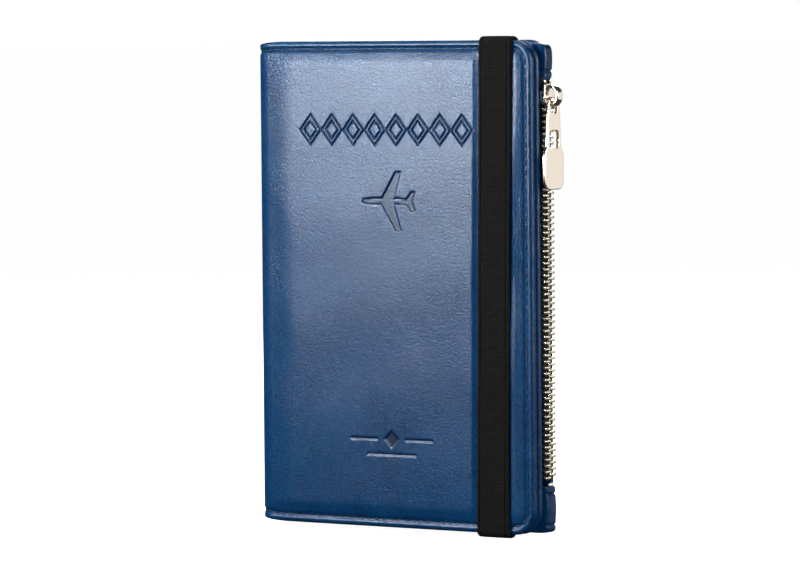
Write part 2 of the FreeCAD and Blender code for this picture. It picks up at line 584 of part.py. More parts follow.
def pull_tab():
    """The pull tab: an eye round the loop, a neck with a window, and a rounded paddle."""
    body = new_body("pull_tab")
    plane = "%s - Dims.pull_thick / 2" % BAIL_X
    eye_z = "(%s - Dims.pull_eye_drop)" % BAIL_Z
    end_z = "(%s - Dims.pull_length)" % BAIL_Z
    paddle_z = "(%s + Dims.pull_paddle_height)" % end_z
    eye = new_sketch(body, "YZ_Plane", plane)
    circle(eye, CHAIN_Y, eye_z, "Dims.pull_eye")
    pad(body, eye, "Dims.pull_thick")
    neck = new_sketch(body, "YZ_Plane", plane)
    wide = "(Dims.pull_neck / 2)"
    slim = "(Dims.pull_eye - 0.1)"
    polygon(neck, [
        ("%s - %s" % (CHAIN_Y, wide), "%s - 1" % paddle_z),
        ("%s + %s" % (CHAIN_Y, wide), "%s - 1" % paddle_z),
        ("%s + %s" % (CHAIN_Y, slim), eye_z), ("%s - %s" % (CHAIN_Y, slim), eye_z)])
    pad(body, neck, "Dims.pull_thick")
    paddle = new_sketch(body, "YZ_Plane", plane)
    half = "(Dims.pull_paddle_width / 2)"
    cut = "2.6"
    polygon(paddle, [
        ("%s - %s + %s" % (CHAIN_Y, half, cut), end_z),
        ("%s + %s - %s" % (CHAIN_Y, half, cut), end_z),
        ("%s + %s" % (CHAIN_Y, half), "%s + %s" % (end_z, cut)),
        ("%s + %s" % (CHAIN_Y, half), "%s - 2" % paddle_z),
        ("%s + %s - 1.2" % (CHAIN_Y, half), paddle_z),
        ("%s - %s + 1.2" % (CHAIN_Y, half), paddle_z),
        ("%s - %s" % (CHAIN_Y, half), "%s - 2" % paddle_z),
        ("%s - %s" % (CHAIN_Y, half), "%s + %s" % (end_z, cut))])
    pad(body, paddle, "Dims.pull_thick")
    face = "%s + Dims.pull_thick" % plane
    hole = new_sketch(body, "YZ_Plane", face)
    circle(hole, CHAIN_Y, eye_z, "Dims.pull_eye_hole")
    pocket(body, hole, "Dims.pull_thick")
    window = new_sketch(body, "YZ_Plane", face)
    window_half = "(Dims.pull_slot_width / 2)"
    rectangle(window, "%s - %s" % (CHAIN_Y, window_half), "%s + %s" % (CHAIN_Y, window_half),
              "%s + 0.8" % paddle_z, "%s + 0.8 + Dims.pull_slot_height" % paddle_z)
    pocket(body, window, "Dims.pull_thick")


def elastic_front_run():
    """The elastic where it lies over the front cover, from the head wrap to the foot wrap."""
    body = new_body("elastic_front_run")
    sketch = new_sketch(body, "XZ_Plane", "Dims.strap_thick")
    polygon(sketch, [
        (STRAP_FOOT_X, FOOT), ("%s + Dims.strap_width" % STRAP_FOOT_X, FOOT),
        ("%s + Dims.strap_width" % STRAP_HEAD_X, HEAD), (STRAP_HEAD_X, HEAD)])
    pad(body, sketch, "Dims.strap_thick")


def elastic_wrap(label, left, at_head):
    """The elastic over the front cover's edge and down into its seam on the card panel."""
    body = new_body(label)
    sketch = new_sketch(body, "YZ_Plane", left)
    sign, edge = ("+", HEAD) if at_head else ("-", FOOT)
    back_sign = "-" if at_head else "+"
    inner = "(%s %s Dims.fit_gap)" % (edge, sign)
    outer = "(%s %s Dims.strap_thick)" % (inner, sign)
    end = "(%s %s Dims.strap_tail)" % (edge, back_sign)
    start = "(0.001)"
    tail_back = "(%s + Dims.tail_thick)" % TAIL_FRONT
    polygon(sketch, [
        (start, inner), (TAIL_FRONT, inner), (TAIL_FRONT, end), (tail_back, end),
        (tail_back, outer), (start, outer)])
    pad(body, sketch, "Dims.strap_width")


def check_and_export():
    """Stop at any failed object, then write each sub-part to its own file."""
    doc.recompute()
    for item in doc.Objects:
        if "Invalid" in item.State or "Error" in item.State:
            raise RuntimeError("%s did not compute: %s" % (item.Label, item.State))
    os.makedirs("parts", exist_ok=True)
    sub_parts = []
    for item in doc.Objects:
        if item.TypeId in ("PartDesign::Body", "Part::Feature"):
            sub_parts.append(item)
    for item in sub_parts:
        if item.Shape.isNull() or not item.Shape.isValid():
            raise RuntimeError("%s has no valid shape" % item.Label)
        item.Shape.exportStep("parts/%s.step" % item.Label)
        box = item.Shape.BoundBox
        print("%-24s %7.1f mm3  x %6.2f %6.2f  y %5.2f %5.2f  z %6.2f %6.2f" % (
            item.Label, item.Shape.Volume, box.XMin, box.XMax, box.YMin, box.YMax,
            box.ZMin, box.ZMax))
    print(len(sub_parts), "sub-parts")


front_cover()
spine()
back_cover()
pocket_gusset()
card_panel()
zipper_ends()
for name, side, shift in (("front", -1, 0.0), ("back", 1, 0.5)):
    zipper_tape("zipper_tape_" + name, side)
    zipper_teeth("zipper_teeth_" + name, side, shift)
    zipper_top_stop("zipper_top_stop_" + name, side)
slider()
slider_bail()
pull_tab()
elastic_front_run()
elastic_wrap("elastic_bottom_wrap", STRAP_FOOT_X, False)
elastic_wrap("elastic_top_wrap", STRAP_HEAD_X, True)
check_and_export()
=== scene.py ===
# %% [markdown]
# # A travel wallet for a passport
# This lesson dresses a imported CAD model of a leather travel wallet. The CAD model says where
# each piece is and how it moves; here every visible piece gets its real surface: rolled and
# stitched leather, woven elastic, a metal zipper with its pull tab, and the card slots inside.

# %% Load the frame
import math

import bmesh
import bpy
import numpy as np
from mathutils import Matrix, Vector


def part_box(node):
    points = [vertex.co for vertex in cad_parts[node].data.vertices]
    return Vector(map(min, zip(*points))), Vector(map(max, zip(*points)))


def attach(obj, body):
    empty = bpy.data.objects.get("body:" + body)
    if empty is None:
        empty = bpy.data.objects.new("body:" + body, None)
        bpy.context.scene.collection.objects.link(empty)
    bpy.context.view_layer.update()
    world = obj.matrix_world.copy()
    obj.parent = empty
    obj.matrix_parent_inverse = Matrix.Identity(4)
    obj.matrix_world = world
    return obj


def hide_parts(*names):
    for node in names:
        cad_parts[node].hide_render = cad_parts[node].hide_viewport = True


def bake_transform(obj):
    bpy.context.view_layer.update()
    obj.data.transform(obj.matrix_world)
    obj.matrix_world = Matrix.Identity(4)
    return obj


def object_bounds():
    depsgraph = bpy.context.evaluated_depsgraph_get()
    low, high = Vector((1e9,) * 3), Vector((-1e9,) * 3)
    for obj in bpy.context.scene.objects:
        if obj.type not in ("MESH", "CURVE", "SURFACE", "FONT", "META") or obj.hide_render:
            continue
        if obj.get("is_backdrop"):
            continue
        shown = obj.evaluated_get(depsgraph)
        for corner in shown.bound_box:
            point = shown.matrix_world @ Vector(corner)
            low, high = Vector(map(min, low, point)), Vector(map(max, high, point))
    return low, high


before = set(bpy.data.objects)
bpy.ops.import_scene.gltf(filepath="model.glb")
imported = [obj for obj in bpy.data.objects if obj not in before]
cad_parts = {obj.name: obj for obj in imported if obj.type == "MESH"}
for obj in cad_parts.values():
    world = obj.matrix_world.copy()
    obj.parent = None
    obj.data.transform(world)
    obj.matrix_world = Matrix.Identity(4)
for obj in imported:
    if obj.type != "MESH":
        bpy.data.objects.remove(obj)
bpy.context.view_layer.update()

MM = 0.001

# %% [markdown]
# ## Measures
# All the places below come from the boxes of the CAD nodes, so the pieces made here fit round
# the CAD parts that stay. The covers and the spine are one strip of leather. It is easiest to
# shape it as if it lay flat: u runs across from the middle of the spine, v runs up from the
# foot edge, and h is the height over the leather's outer face. One function then folds it.

# %% Places taken from the CAD nodes
front_low, front_high = (np.array(corner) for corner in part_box("front_cover_leather"))
back_high = np.array(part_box("back_cover_leather")[1])
SPINE_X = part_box("spine_leather")[0][0]
FORE_X = front_high[0]
FRONT_Y, BACK_Y = front_low[1], back_high[1]
FOOT_Z, HEAD_Z = front_low[2], front_high[2]
HEIGHT = HEAD_Z - FOOT_Z
FOLD_RADIUS = (BACK_Y - FRONT_Y) / 2
FOLD_X, FOLD_Y = SPINE_X + FOLD_RADIUS, (FRONT_Y + BACK_Y) / 2
FOLD_LENGTH = math.pi / 2 * FOLD_RADIUS
COVER_U = FOLD_LENGTH + FORE_X - FOLD_X
BACK_U = FOLD_LENGTH + back_high[0] - FOLD_X
CORNER = 7 * MM
LEATHER = 1.0 * MM
print("cover", round(HEIGHT / MM, 1), "mm tall, strip", round(COVER_U / MM, 1), "mm from the fold")


# %% [markdown]
# ## One fold for everything
# The leather wraps a quarter circle at the spine and runs straight on, once to each side. Making
# it flat and folding it by one formula keeps the seams, the lining and the leather together.

# %% Folding the flat strip round the spine
DIP = 0.8 * MM


def smooth_step(value, low, high):
    """0 below low, 1 above high, and 3t^2 - 2t^3 between them."""
    t = np.clip((value - low) / (high - low), 0, 1)
    return t * t * (3 - 2 * t)


def fold(u, v, h, side):
    """Points of the strip (u, v, h) in space.

    The strip goes round a quarter circle of FOLD_RADIUS and then straight on. At angle a from
    the spine's middle, the point is the circle's centre plus (FOLD_RADIUS + h) times
    (-cos a, side sin a). side is -1 for the front cover and +1 for the back cover. The strip
    is a little shorter at the spine, where it was pulled round: v shrinks towards the middle
    by DIP at either end.
    """
    angle = np.clip(u / FOLD_RADIUS, 0, math.pi / 2)
    straight = np.maximum(u - FOLD_LENGTH, 0)
    reach = FOLD_RADIUS + h
    x = FOLD_X - reach * np.cos(angle) + straight
    y = FOLD_Y + side * reach * np.sin(angle)
    shrink = DIP / (HEIGHT / 2) * (1 - smooth_step(u, 2 * MM, 15 * MM))
    return np.stack([x, y, FOOT_Z + v - (v - HEIGHT / 2) * shrink + 0 * x], axis=-1)


def along_x(x):
    """The u of a place on a cover that lies x from the spine's outermost line."""
    return FOLD_LENGTH + x - FOLD_RADIUS


# %% [markdown]
# ## Mesh helpers
# A surface is a grid of points worked out as one array. Its faces are the grid's cells, so they
# can be worked out as an array too. Closed shells are welded and their normals turned outwards
# once, when the mesh is made.

# %% Grids, meshes and pieces
def grid_faces(rows, columns, start=0, closed=False):
    """The cells of a grid of rows x columns points, numbered row by row from start."""
    wide = columns if closed else columns - 1
    row, column = np.meshgrid(np.arange(rows - 1), np.arange(wide), indexing="ij")
    right = (column + 1) % columns
    corners = [row * columns + column, row * columns + right,
               (row + 1) * columns + right, (row + 1) * columns + column]
    return start + np.stack(corners, axis=-1).reshape(-1, 4)


def new_piece(name, points, faces, material, weld=True, smooth_angle=40):
    """A mesh object from arrays: welded, with its normals outwards and smooth shading."""
    mesh = bpy.data.meshes.new(name)
    face_lists = []
    for block in faces:
        face_lists.extend(block.tolist() if isinstance(block, np.ndarray) else block)
    mesh.from_pydata(np.asarray(points, float).reshape(-1, 3).tolist(), [], face_lists)
    if weld:
        shell = bmesh.new()
        shell.from_mesh(mesh)
        bmesh.ops.remove_doubles(shell, verts=shell.verts, dist=0.002 * MM)
        bmesh.ops.recalc_face_normals(shell, faces=shell.faces)
        shell.to_mesh(mesh)
        shell.free()
    mesh.materials.append(material)
    mesh.shade_smooth()
    if smooth_angle:
        mesh.set_sharp_from_angle(angle=math.radians(smooth_angle))
    piece = bpy.data.objects.new(name, mesh)
    bpy.context.scene.collection.objects.link(piece)
    return piece


# %% [markdown]
# ## Materials
# Every finish is procedural and reads Object coordinates, so it stays on the piece from every
# side. The leather is waxed and lightly mottled: a large slow noise for the uneven dye, a
# finer one for its pores, and a net of small creases that also catches the light.

# %% Node helpers
def new_material(name):
    """A material, its node tree and its shader, with a texture coordinate node ready."""
    material = bpy.data.materials.new(name)
    material.use_nodes = True
    tree = material.node_tree
    shader = tree.nodes["Principled BSDF"]
    place = tree.nodes.new("ShaderNodeTexCoord").outputs["Object"]
    return material, tree, shader, place


def noise(tree, place, scale, detail=3.0, roughness=0.55, distortion=0.0):
    """A noise texture of so many features per metre."""
    node = tree.nodes.new("ShaderNodeTexNoise")
    node.inputs["Scale"].default_value = scale
    node.inputs["Detail"].default_value = detail
    node.inputs["Roughness"].default_value = roughness
    node.inputs["Distortion"].default_value = distortion
    tree.links.new(place, node.inputs["Vector"])
    return node.outputs["Fac"]


def ramp(tree, value, stops):
    """Turns a value into colours or greys: stops are (position, colour) pairs."""
    node = tree.nodes.new("ShaderNodeValToRGB")
    while len(node.color_ramp.elements) < len(stops):
        node.color_ramp.elements.new(0.5)
    for element, (position, colour) in zip(node.color_ramp.elements, stops):
        element.position = position
        element.color = (*colour, 1.0) if len(colour) == 3 else (colour[0],) * 3 + (1.0,)
    tree.links.new(value, node.inputs["Fac"])
    return node.outputs["Color"]


def combine(tree, operation, first, second):
    """A math node; second may be a socket or a number."""
    node = tree.nodes.new("ShaderNodeMath")
    node.operation = operation
    tree.links.new(first, node.inputs[0])
    if isinstance(second, (int, float)):
        node.inputs[1].default_value = second
    else:
        tree.links.new(second, node.inputs[1])
    return node.outputs[0]


def blend_colours(tree, factor, first, second, mode="MIX"):
    """A colour mix; factor, first and second may be sockets or constants."""
    node = tree.nodes.new("ShaderNodeMix")
    node.data_type = "RGBA"
    node.blend_type = mode
    for name, value in (("Factor", factor), ("A", first), ("B", second)):
        kind = "VALUE" if name == "Factor" else "RGBA"
        socket = [item for item in node.inputs if item.name == name and item.type == kind][0]
        if isinstance(value, bpy.types.NodeSocket):
            tree.links.new(value, socket)
        else:
            socket.default_value = value if name == "Factor" else (*value, 1.0)
    return [item for item in node.outputs if item.type == "RGBA"][0]


def add_bump(tree, shader, height, distance, strength=1.0, under=None):
    """A bump node on the shader, after another bump if one is given."""
    node = tree.nodes.new("ShaderNodeBump")
    node.inputs["Distance"].default_value = distance
    node.inputs["Strength"].default_value = strength
    tree.links.new(height, node.inputs["Height"])
    if under is not None:
        tree.links.new(under, node.inputs["Normal"])
    tree.links.new(node.outputs["Normal"], shader.inputs["Normal"])
    return node.outputs["Normal"]


# %% [markdown]
# ## Waxed leather
# The covers are blue leather with a waxed, creased and slightly mottled surface. One flat colour
# would look like plastic, so the dye is a slow noise between three blues with a finer one for
# specks, and creases are the edges of bent Voronoi cells. The gloss varies with the wrinkles,
# which breaks up the shine. On the front skin an attribute says where a die has pressed, and the
# base colour is painted darker there: partly the pressed leather's tone, partly painted shade in the
# grooves.

# %% The blue leather
def make_leather(name, deep, light, pale, crease=0.5, shade_marks=False):
    """Waxed leather: mottled dye between three colours, creases, pores and an uneven gloss."""
    material, tree, shader, place = new_material(name)
    patches = noise(tree, place, 42, detail=6, roughness=0.66, distortion=0.5)
    specks = noise(tree, place, 900, detail=3, roughness=0.7)
    mixed = combine(tree, "ADD", combine(tree, "MULTIPLY", patches, 0.62),
                    combine(tree, "MULTIPLY", specks, 0.38))
    dye = ramp(tree, mixed, [(0.36, deep), (0.52, light), (0.68, pale)])
    bend = tree.nodes.new("ShaderNodeTexNoise")
    bend.inputs["Scale"].default_value = 330
    bend.inputs["Detail"].default_value = 3
    tree.links.new(place, bend.inputs["Vector"])
    shifted = tree.nodes.new("ShaderNodeVectorMath")
    shifted.operation = "MULTIPLY_ADD"
    tree.links.new(bend.outputs["Color"], shifted.inputs[0])
    shifted.inputs[1].default_value = (0.0020, 0.0020, 0.0020)
    tree.links.new(place, shifted.inputs[2])
    cells = tree.nodes.new("ShaderNodeTexVoronoi")
    cells.feature = "DISTANCE_TO_EDGE"
    cells.inputs["Scale"].default_value = 950
    tree.links.new(shifted.outputs[0], cells.inputs["Vector"])
    lines = ramp(tree, cells.outputs["Distance"], [(0.0, (0.0,)), (0.16, (1.0,))])
    wrinkle = noise(tree, place, 1650, detail=4, roughness=0.7, distortion=1.2)
    pores = noise(tree, place, 3800, detail=3, roughness=0.7)
    shade = blend_colours(tree, 0.30, dye, lines, "MULTIPLY")
    gloss = ramp(tree, wrinkle, [(0.3, (0.24,)), (0.72, (0.36,))])
    # Painted shade: where the die has pressed, the base colour is pulled towards a deep navy, partly the
    # pressed leather's own tone and partly painted shade in the grooves and sunk floors.
    if shade_marks:
        mark = tree.nodes.new("ShaderNodeAttribute")
        mark.attribute_name = "pressed"
        shade = blend_colours(tree, combine(tree, "MULTIPLY", mark.outputs["Fac"], 0.85), shade,
                              (0.003, 0.020, 0.070))
    tree.links.new(shade, shader.inputs["Base Color"])
    tree.links.new(gloss, shader.inputs["Roughness"])
    shader.inputs["Specular IOR Level"].default_value = 0.25
    shader.inputs["Specular Tint"].default_value = (0.86, 0.95, 1.0, 1.0)
    first = add_bump(tree, shader, lines, 0.00005, crease)
    second = add_bump(tree, shader, wrinkle, 0.00011, 0.55, under=first)
    add_bump(tree, shader, pores, 0.00004, 0.4, under=second)
    return material


DEEP, LIGHT, PALE = (0.001, 0.085, 0.300), (0.003, 0.128, 0.410), (0.012, 0.178, 0.510)
LEATHER_BLUE = make_leather("waxed_blue_leather", DEEP, LIGHT, PALE)
# The front skin's leather, with its pressed marks painted darker: partly their own tone, partly painted
# shade.
PRESSED_SHADE_BLUE = make_leather("waxed_blue_leather_pressed_shade", DEEP, LIGHT, PALE, shade_marks=True)
EDGE_BLUE = make_leather("waxed_blue_leather_edge", (0.001, 0.075, 0.265), (0.003, 0.112, 0.360),
                         (0.010, 0.155, 0.450), crease=0.35)


# %% [markdown]
# ## The other finishes
# Around the leather are sewing thread, woven cloth, elastic, board, foam and plated metal. Threads
# could be modelled one by one, but at this size two sets of bands multiplied, one for each
# direction of thread, read as a weave. The metals have a little uneven gloss and almost no relief.

# %% Thread, elastic, cloth, board, foam and metal
def make_thread():
    """Twisted polyester sewing thread, a little darker than the leather."""
    material, tree, shader, place = new_material("navy_thread")
    fibres = noise(tree, place, 4000, detail=2)
    tree.links.new(ramp(tree, fibres, [(0.3, (0.006, 0.030, 0.085)), (0.7, (0.020, 0.075, 0.170))]),
                   shader.inputs["Base Color"])
    shader.inputs["Roughness"].default_value = 0.55
    add_bump(tree, shader, fibres, 0.00003, 0.5)
    return material


def wave_along(tree, place, direction, scale, distortion=0.0):
    """Bands across one axis, so many per metre."""
    node = tree.nodes.new("ShaderNodeTexWave")
    node.wave_type = "BANDS"
    node.bands_direction = direction
    node.inputs["Scale"].default_value = scale
    node.inputs["Distortion"].default_value = distortion
    node.inputs["Detail"].default_value = 1.0
    tree.links.new(place, node.inputs["Vector"])
    return node.outputs["Fac"]


def make_weave(name, dark, light, across, along, rough, depth, axes=("X", "Z"), start=0.2):
    """Woven cloth: threads across times threads along, in a dark and a light tone."""
    material, tree, shader, place = new_material(name)
    weft = wave_along(tree, place, axes[1], across, 0.6)
    warp = wave_along(tree, place, axes[0], along, 0.4)
    cloth = combine(tree, "MULTIPLY", weft, combine(tree, "ADD", warp, 0.35))
    fuzz = noise(tree, place, 2500, detail=3)
    mixed = combine(tree, "ADD", combine(tree, "MULTIPLY", cloth, 0.6),
                    combine(tree, "MULTIPLY", fuzz, 0.4))
    tree.links.new(ramp(tree, mixed, [(start, dark), (0.78, light)]), shader.inputs["Base Color"])
    shader.inputs["Roughness"].default_value = rough
    shader.inputs["Specular IOR Level"].default_value = 0.12
    shader.inputs["Sheen Weight"].default_value = 0.03
    shader.inputs["Sheen Roughness"].default_value = 0.4
    add_bump(tree, shader, mixed, depth, 0.9)
    return material


def make_metal(name, colour, rough):
    """Polished plated metal with faint handling marks in its gloss."""
    material, tree, shader, place = new_material(name)
    marks = noise(tree, place, 900, detail=4)
    tint = ramp(tree, marks, [(0.3, tuple(c * 0.93 for c in colour)), (0.7, colour)])
    tree.links.new(tint, shader.inputs["Base Color"])
    shader.inputs["Metallic"].default_value = 1.0
    tree.links.new(ramp(tree, marks, [(0.3, (rough,)), (0.75, (rough + 0.09,))]),
                   shader.inputs["Roughness"])
    add_bump(tree, shader, marks, 0.00002, 0.15)
    return material


def make_plain(name, dark, light, scale, rough, depth):
    """Foam or board: two close tones, fine grains and no gloss."""
    material, tree, shader, place = new_material(name)
    grains = noise(tree, place, scale, detail=4)
    tree.links.new(ramp(tree, grains, [(0.3, dark), (0.7, light)]), shader.inputs["Base Color"])
    shader.inputs["Roughness"].default_value = rough
    add_bump(tree, shader, grains, depth, 0.6)
    return material


THREAD = make_thread()
ELASTIC = make_weave("black_elastic_weave", (0.0005, 0.0005, 0.0006), (0.042, 0.039, 0.037),
                     500, 420, 0.9, 0.00022, start=0.50)
LINING = make_weave("navy_lining_twill", (0.006, 0.012, 0.030), (0.020, 0.035, 0.075),
                    700, 700, 0.7, 0.00004)
TAPE = make_weave("black_zipper_tape", (0.004, 0.004, 0.006), (0.020, 0.021, 0.028),
                  800, 800, 0.75, 0.00005, axes=("Y", "Z"))
BOARD = make_plain("stiffener_board", (0.38, 0.33, 0.26), (0.50, 0.45, 0.37), 900, 0.85, 0.00003)
FOAM = make_plain("white_foam", (0.62, 0.62, 0.60), (0.78, 0.78, 0.76), 1800, 0.9, 0.00006)
TOOTH_GOLD = make_metal("gold_zipper_teeth", (0.96, 0.89, 0.72), 0.18)
PALE_GOLD = make_metal("pale_gold_plating", (0.95, 0.85, 0.72), 0.12)
print(len(bpy.data.materials), "materials")


# %% [markdown]
# ## The relief of the front cover
# The front is not flat. Its edge is turned over a cord-like roll and sewn down, the panel
# inside the seam is puffed over foam, and a border and two small pictures are pressed in
# with a hot die. A relief is only a height for every (u, v), so all of it is sums of simple
# terms. A pressed outline needs the distance to a shape's edge, which is easy for bars and
# wedges, and the smallest distance of several shapes is the distance of them all.

# %% Distances to bars and wedges
def bar(x, z, start, end, half):
    """Distance to a flat-ended bar from start to end, negative inside it."""
    ax, az = start
    length = math.hypot(end[0] - ax, end[1] - az)
    dx, dz = (end[0] - ax) / length, (end[1] - az) / length
    along = np.abs((x - ax) * dx + (z - az) * dz - length / 2) - length / 2
    across = np.abs((z - az) * dx - (x - ax) * dz) - half
    outside = np.hypot(np.maximum(along, 0), np.maximum(across, 0))
    return outside + np.minimum(np.maximum(along, across), 0)


def wedge(x, z, corners):
    """Distance, nearly, to a convex shape with its corners in counterclockwise order."""
    sides = []
    for (ax, az), (bx, bz) in zip(corners, corners[1:] + corners[:1]):
        length = math.hypot(bx - ax, bz - az)
        sides.append(((x - ax) * (bz - az) - (z - az) * (bx - ax)) / length)
    return np.maximum.reduce(sides)


# %% [markdown]
# ## Border, aeroplane and ornament
# A row of double lozenges, an aeroplane and a small ornament are pressed into the cover. The
# border repeats one lozenge, so the distance is worked out in the nearest cell only. The
# aeroplane is a round-ended bar with two wedges, mirrored by taking the height's absolute value.

# %% The three pressed marks
BORDER_X = 18.6 * MM
BORDER_V = HEIGHT - 26.5 * MM
LOZENGES = 8
LOZENGE_PITCH = 7.9 * MM
LOZENGE_WIDE, LOZENGE_TALL = 3.75 * MM, 4.5 * MM
LOZENGE_STEP = 1.15 * MM
BORDER_LENGTH = LOZENGES * LOZENGE_PITCH
print("border", round(BORDER_LENGTH / MM, 1), "mm long")


def border_distance(u, v):
    """Distance to the lines of a row of lozenges, each with a smaller one inside it."""
    x = u - along_x(BORDER_X)
    number = np.clip(np.floor(x / LOZENGE_PITCH), 0, LOZENGES - 1)
    x = np.abs(x - (number + 0.5) * LOZENGE_PITCH)
    slant = LOZENGE_WIDE * LOZENGE_TALL / math.hypot(LOZENGE_WIDE, LOZENGE_TALL)
    outer = (x / LOZENGE_WIDE + np.abs(v - BORDER_V) / LOZENGE_TALL - 1) * slant
    return np.minimum(np.abs(outer), np.abs(outer + LOZENGE_STEP))


PLANE_X = 51.0 * MM
PLANE_V = HEIGHT - 47.6 * MM
PLANE_HALF = 9.3 * MM


def plane_distance(u, v):
    """Distance to a plain aeroplane, nose towards the spine: body, two swept wings, tail."""
    x = (u - along_x(PLANE_X)) / PLANE_HALF
    z = np.abs(v - PLANE_V) / PLANE_HALF
    girth = 0.085 - 0.040 * smooth_step(np.abs(x + 0.05), 0.4, 1.0)
    body = np.hypot(x - np.clip(x, -0.95, 0.90), z) - girth
    wing = wedge(x, z, [(-0.36, -0.1), (0.16, -0.1), (0.48, 0.93), (0.30, 0.93)])
    fin = wedge(x, z, [(0.58, -0.1), (0.88, -0.1), (1.04, 0.30), (0.92, 0.30)])
    return np.minimum.reduce([body, wing, fin]) * PLANE_HALF


MARK_X = 51.5 * MM
MARK_V = HEIGHT - 118.5 * MM


def mark_distance(u, v):
    """Distance to a plain ornament: a diamond between two rules, over a third shorter rule."""
    x, z = u - along_x(MARK_X), v - MARK_V
    diamond = (np.abs(x) + np.abs(z) - 2.6 * MM) * 0.7
    rules = bar(np.abs(x), z, (5.0 * MM, 0), (15.0 * MM, 0), 0.35 * MM)
    lower = bar(x, z, (-9.0 * MM, -4.6 * MM), (9.0 * MM, -4.6 * MM), 0.3 * MM)
    return np.minimum.reduce([diamond, rules, lower])


def groove(distance, width, depth):
    """A rounded groove along a shape's edge: depth times exp(-(distance / width)^2)."""
    return -depth * np.exp(-(distance / width) ** 2)


def pressed(distance, depth):
    """A flat floor pressed in inside a shape, with a soft wall at its edge."""
    return -depth * smooth_step(-distance, -0.28 * MM, 0.28 * MM)


# %% [markdown]
# ## Adding the heights
# A pressed outline is a narrow groove and a filled picture is a sunk floor. The puffed panel
# rises inside the seam, stays low along the spine and is held flat under the elastic.

# %% The whole relief
strap_low, strap_high = (np.array(corner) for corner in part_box("elastic_front_run"))
foot_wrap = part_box("elastic_bottom_wrap")
head_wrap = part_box("elastic_top_wrap")
STRAP_WIDTH = foot_wrap[1][0] - foot_wrap[0][0]
STRAP_FOOT_X = (foot_wrap[0][0] + foot_wrap[1][0]) / 2
STRAP_LEAN = head_wrap[0][0] - foot_wrap[0][0]
SEAM_INSET = 2.4 * MM


def strap_u(v):
    """The u of the elastic's middle at height v, which leans a little to the fore edge."""
    return along_x(STRAP_FOOT_X + STRAP_LEAN * v / HEIGHT - SPINE_X)


GROOVE_WIDTH, GROOVE = 0.62 * MM, 0.50 * MM


def edge_relief(inset):
    """The sewn edge: a groove that the stitches pull down, SEAM_INSET from the edge."""
    return groove(inset - SEAM_INSET, GROOVE_WIDTH, GROOVE)


FRONT_PUFF, BACK_PUFF = 1.0 * MM, 0.35 * MM
SPINE_HOLLOW = 0.45
HELD_BY_STRAP = 2.6 * MM
FORE_SLOPE = 0.085 / MM


def panel_relief(u, v, inset, puff, strap):
    """Puffed leather inside the seam, low along the spine and held down by the elastic."""
    rise = smooth_step(inset, 2.3 * MM, 7.0 * MM)
    wander = 1.2 * MM * np.sin(v * 70) + 0.6 * MM * np.sin(v * 190 + 1.3)
    from_spine = smooth_step(u + wander, FOLD_LENGTH - 4 * MM, FOLD_LENGTH + 9.5 * MM)
    dome = 1 - 0.35 * ((v - HEIGHT / 2) / (HEIGHT / 2)) ** 2
    sag = 0.06 * np.sin(u * 170 + 1.0) * np.sin(v * 95 + 0.4) + 0.04 * np.sin(u * 60 - v * 210)
    hollow = SPINE_HOLLOW * smooth_step(u, FOLD_LENGTH - 6 * MM, FOLD_LENGTH) * (1 - from_spine)
    height = puff * (rise * from_spine * (dome + sag) - hollow)
    if strap:
        past = u - strap_u(v)
        spine_side = smooth_step(-past, STRAP_WIDTH / 2, STRAP_WIDTH / 2 + HELD_BY_STRAP)
        fore_side = smooth_step(past, STRAP_WIDTH / 2, STRAP_WIDTH / 2 + 1.0 * MM)
        slope = 1 - FORE_SLOPE * np.maximum(past - STRAP_WIDTH / 2, 0)
        height = height * (spine_side + fore_side * np.maximum(slope, 0))
    return height


# DARK_LINE is the width of the lines painted darker along the pressed outlines, partly tone and partly
# painted shade.
DARK_LINE = 0.24 * MM
BORDER_LINE, BORDER_DEPTH = 0.22 * MM, 0.42 * MM
PLANE_LINE, PLANE_DEPTH = 0.25 * MM, 0.35 * MM
MARK_DEPTH = 0.32 * MM


def pressed_tone_and_shade(u, v):
    """How much a point of a pressed mark is painted darker, from 0 to 1: partly the pressed leather's
    tone, partly painted shade in the grooves and sunk floors.
    """
    border = np.exp(-(border_distance(u, v) / DARK_LINE) ** 2)
    plane = plane_distance(u, v)
    rim = np.exp(-(plane / DARK_LINE) ** 2)
    inner = 0.55 * smooth_step(-plane, 0.0, 0.3 * MM)
    mark = smooth_step(-mark_distance(u, v), -0.2 * MM, 0.1 * MM)
    return np.maximum.reduce([border, rim, inner, mark])


def front_relief(u, v, inset):
    """Height of the front cover's leather over its flat face."""
    height = edge_relief(inset) + panel_relief(u, v, inset, FRONT_PUFF, True)
    height = height + groove(border_distance(u, v), BORDER_LINE, BORDER_DEPTH)
    plane = plane_distance(u, v)
    height = height + pressed(plane, PLANE_DEPTH) + groove(plane, PLANE_LINE, 0.15 * MM)
    return height + pressed(mark_distance(u, v), MARK_DEPTH)


def back_relief(u, v, inset):
    """Height of the back cover's leather, which has no marks."""
    return edge_relief(inset) + panel_relief(u, v, inset, BACK_PUFF, False)


# %% [markdown]
# ## Leather with a turned edge
# A cover is a shell: an outer face, an edge rolled over, a turned-in strip, and an inner face.
# The rolled edge is one profile of (inset, height) carried round the outline, and the
# faces are plain grids inside it. At a rounded corner the profile fans out from one point
# of the grid, so the corner's arc stays true. Grid lines are close only where a mark needs them.

# %% Grid lines and the outline
OUTER_DEPTHS = tuple(x * MM for x in (6.2, 5.4, 4.6, 3.9, 3.4, 2.95, 2.65, 2.4, 2.15, 1.85, 1.55))
ARC_SAMPLES = 15


def lines(stops):
    """Grid lines between (place, spacing) stops: each stretch is divided evenly."""
    values = [np.array([stops[0][0]])]
    for (start, spacing), (end, _) in zip(stops[:-1], stops[1:]):
        count = max(int(round((end - start) / spacing)), 1)
        values.append(np.linspace(start, end, count + 1)[1:])
    return np.concatenate(values)


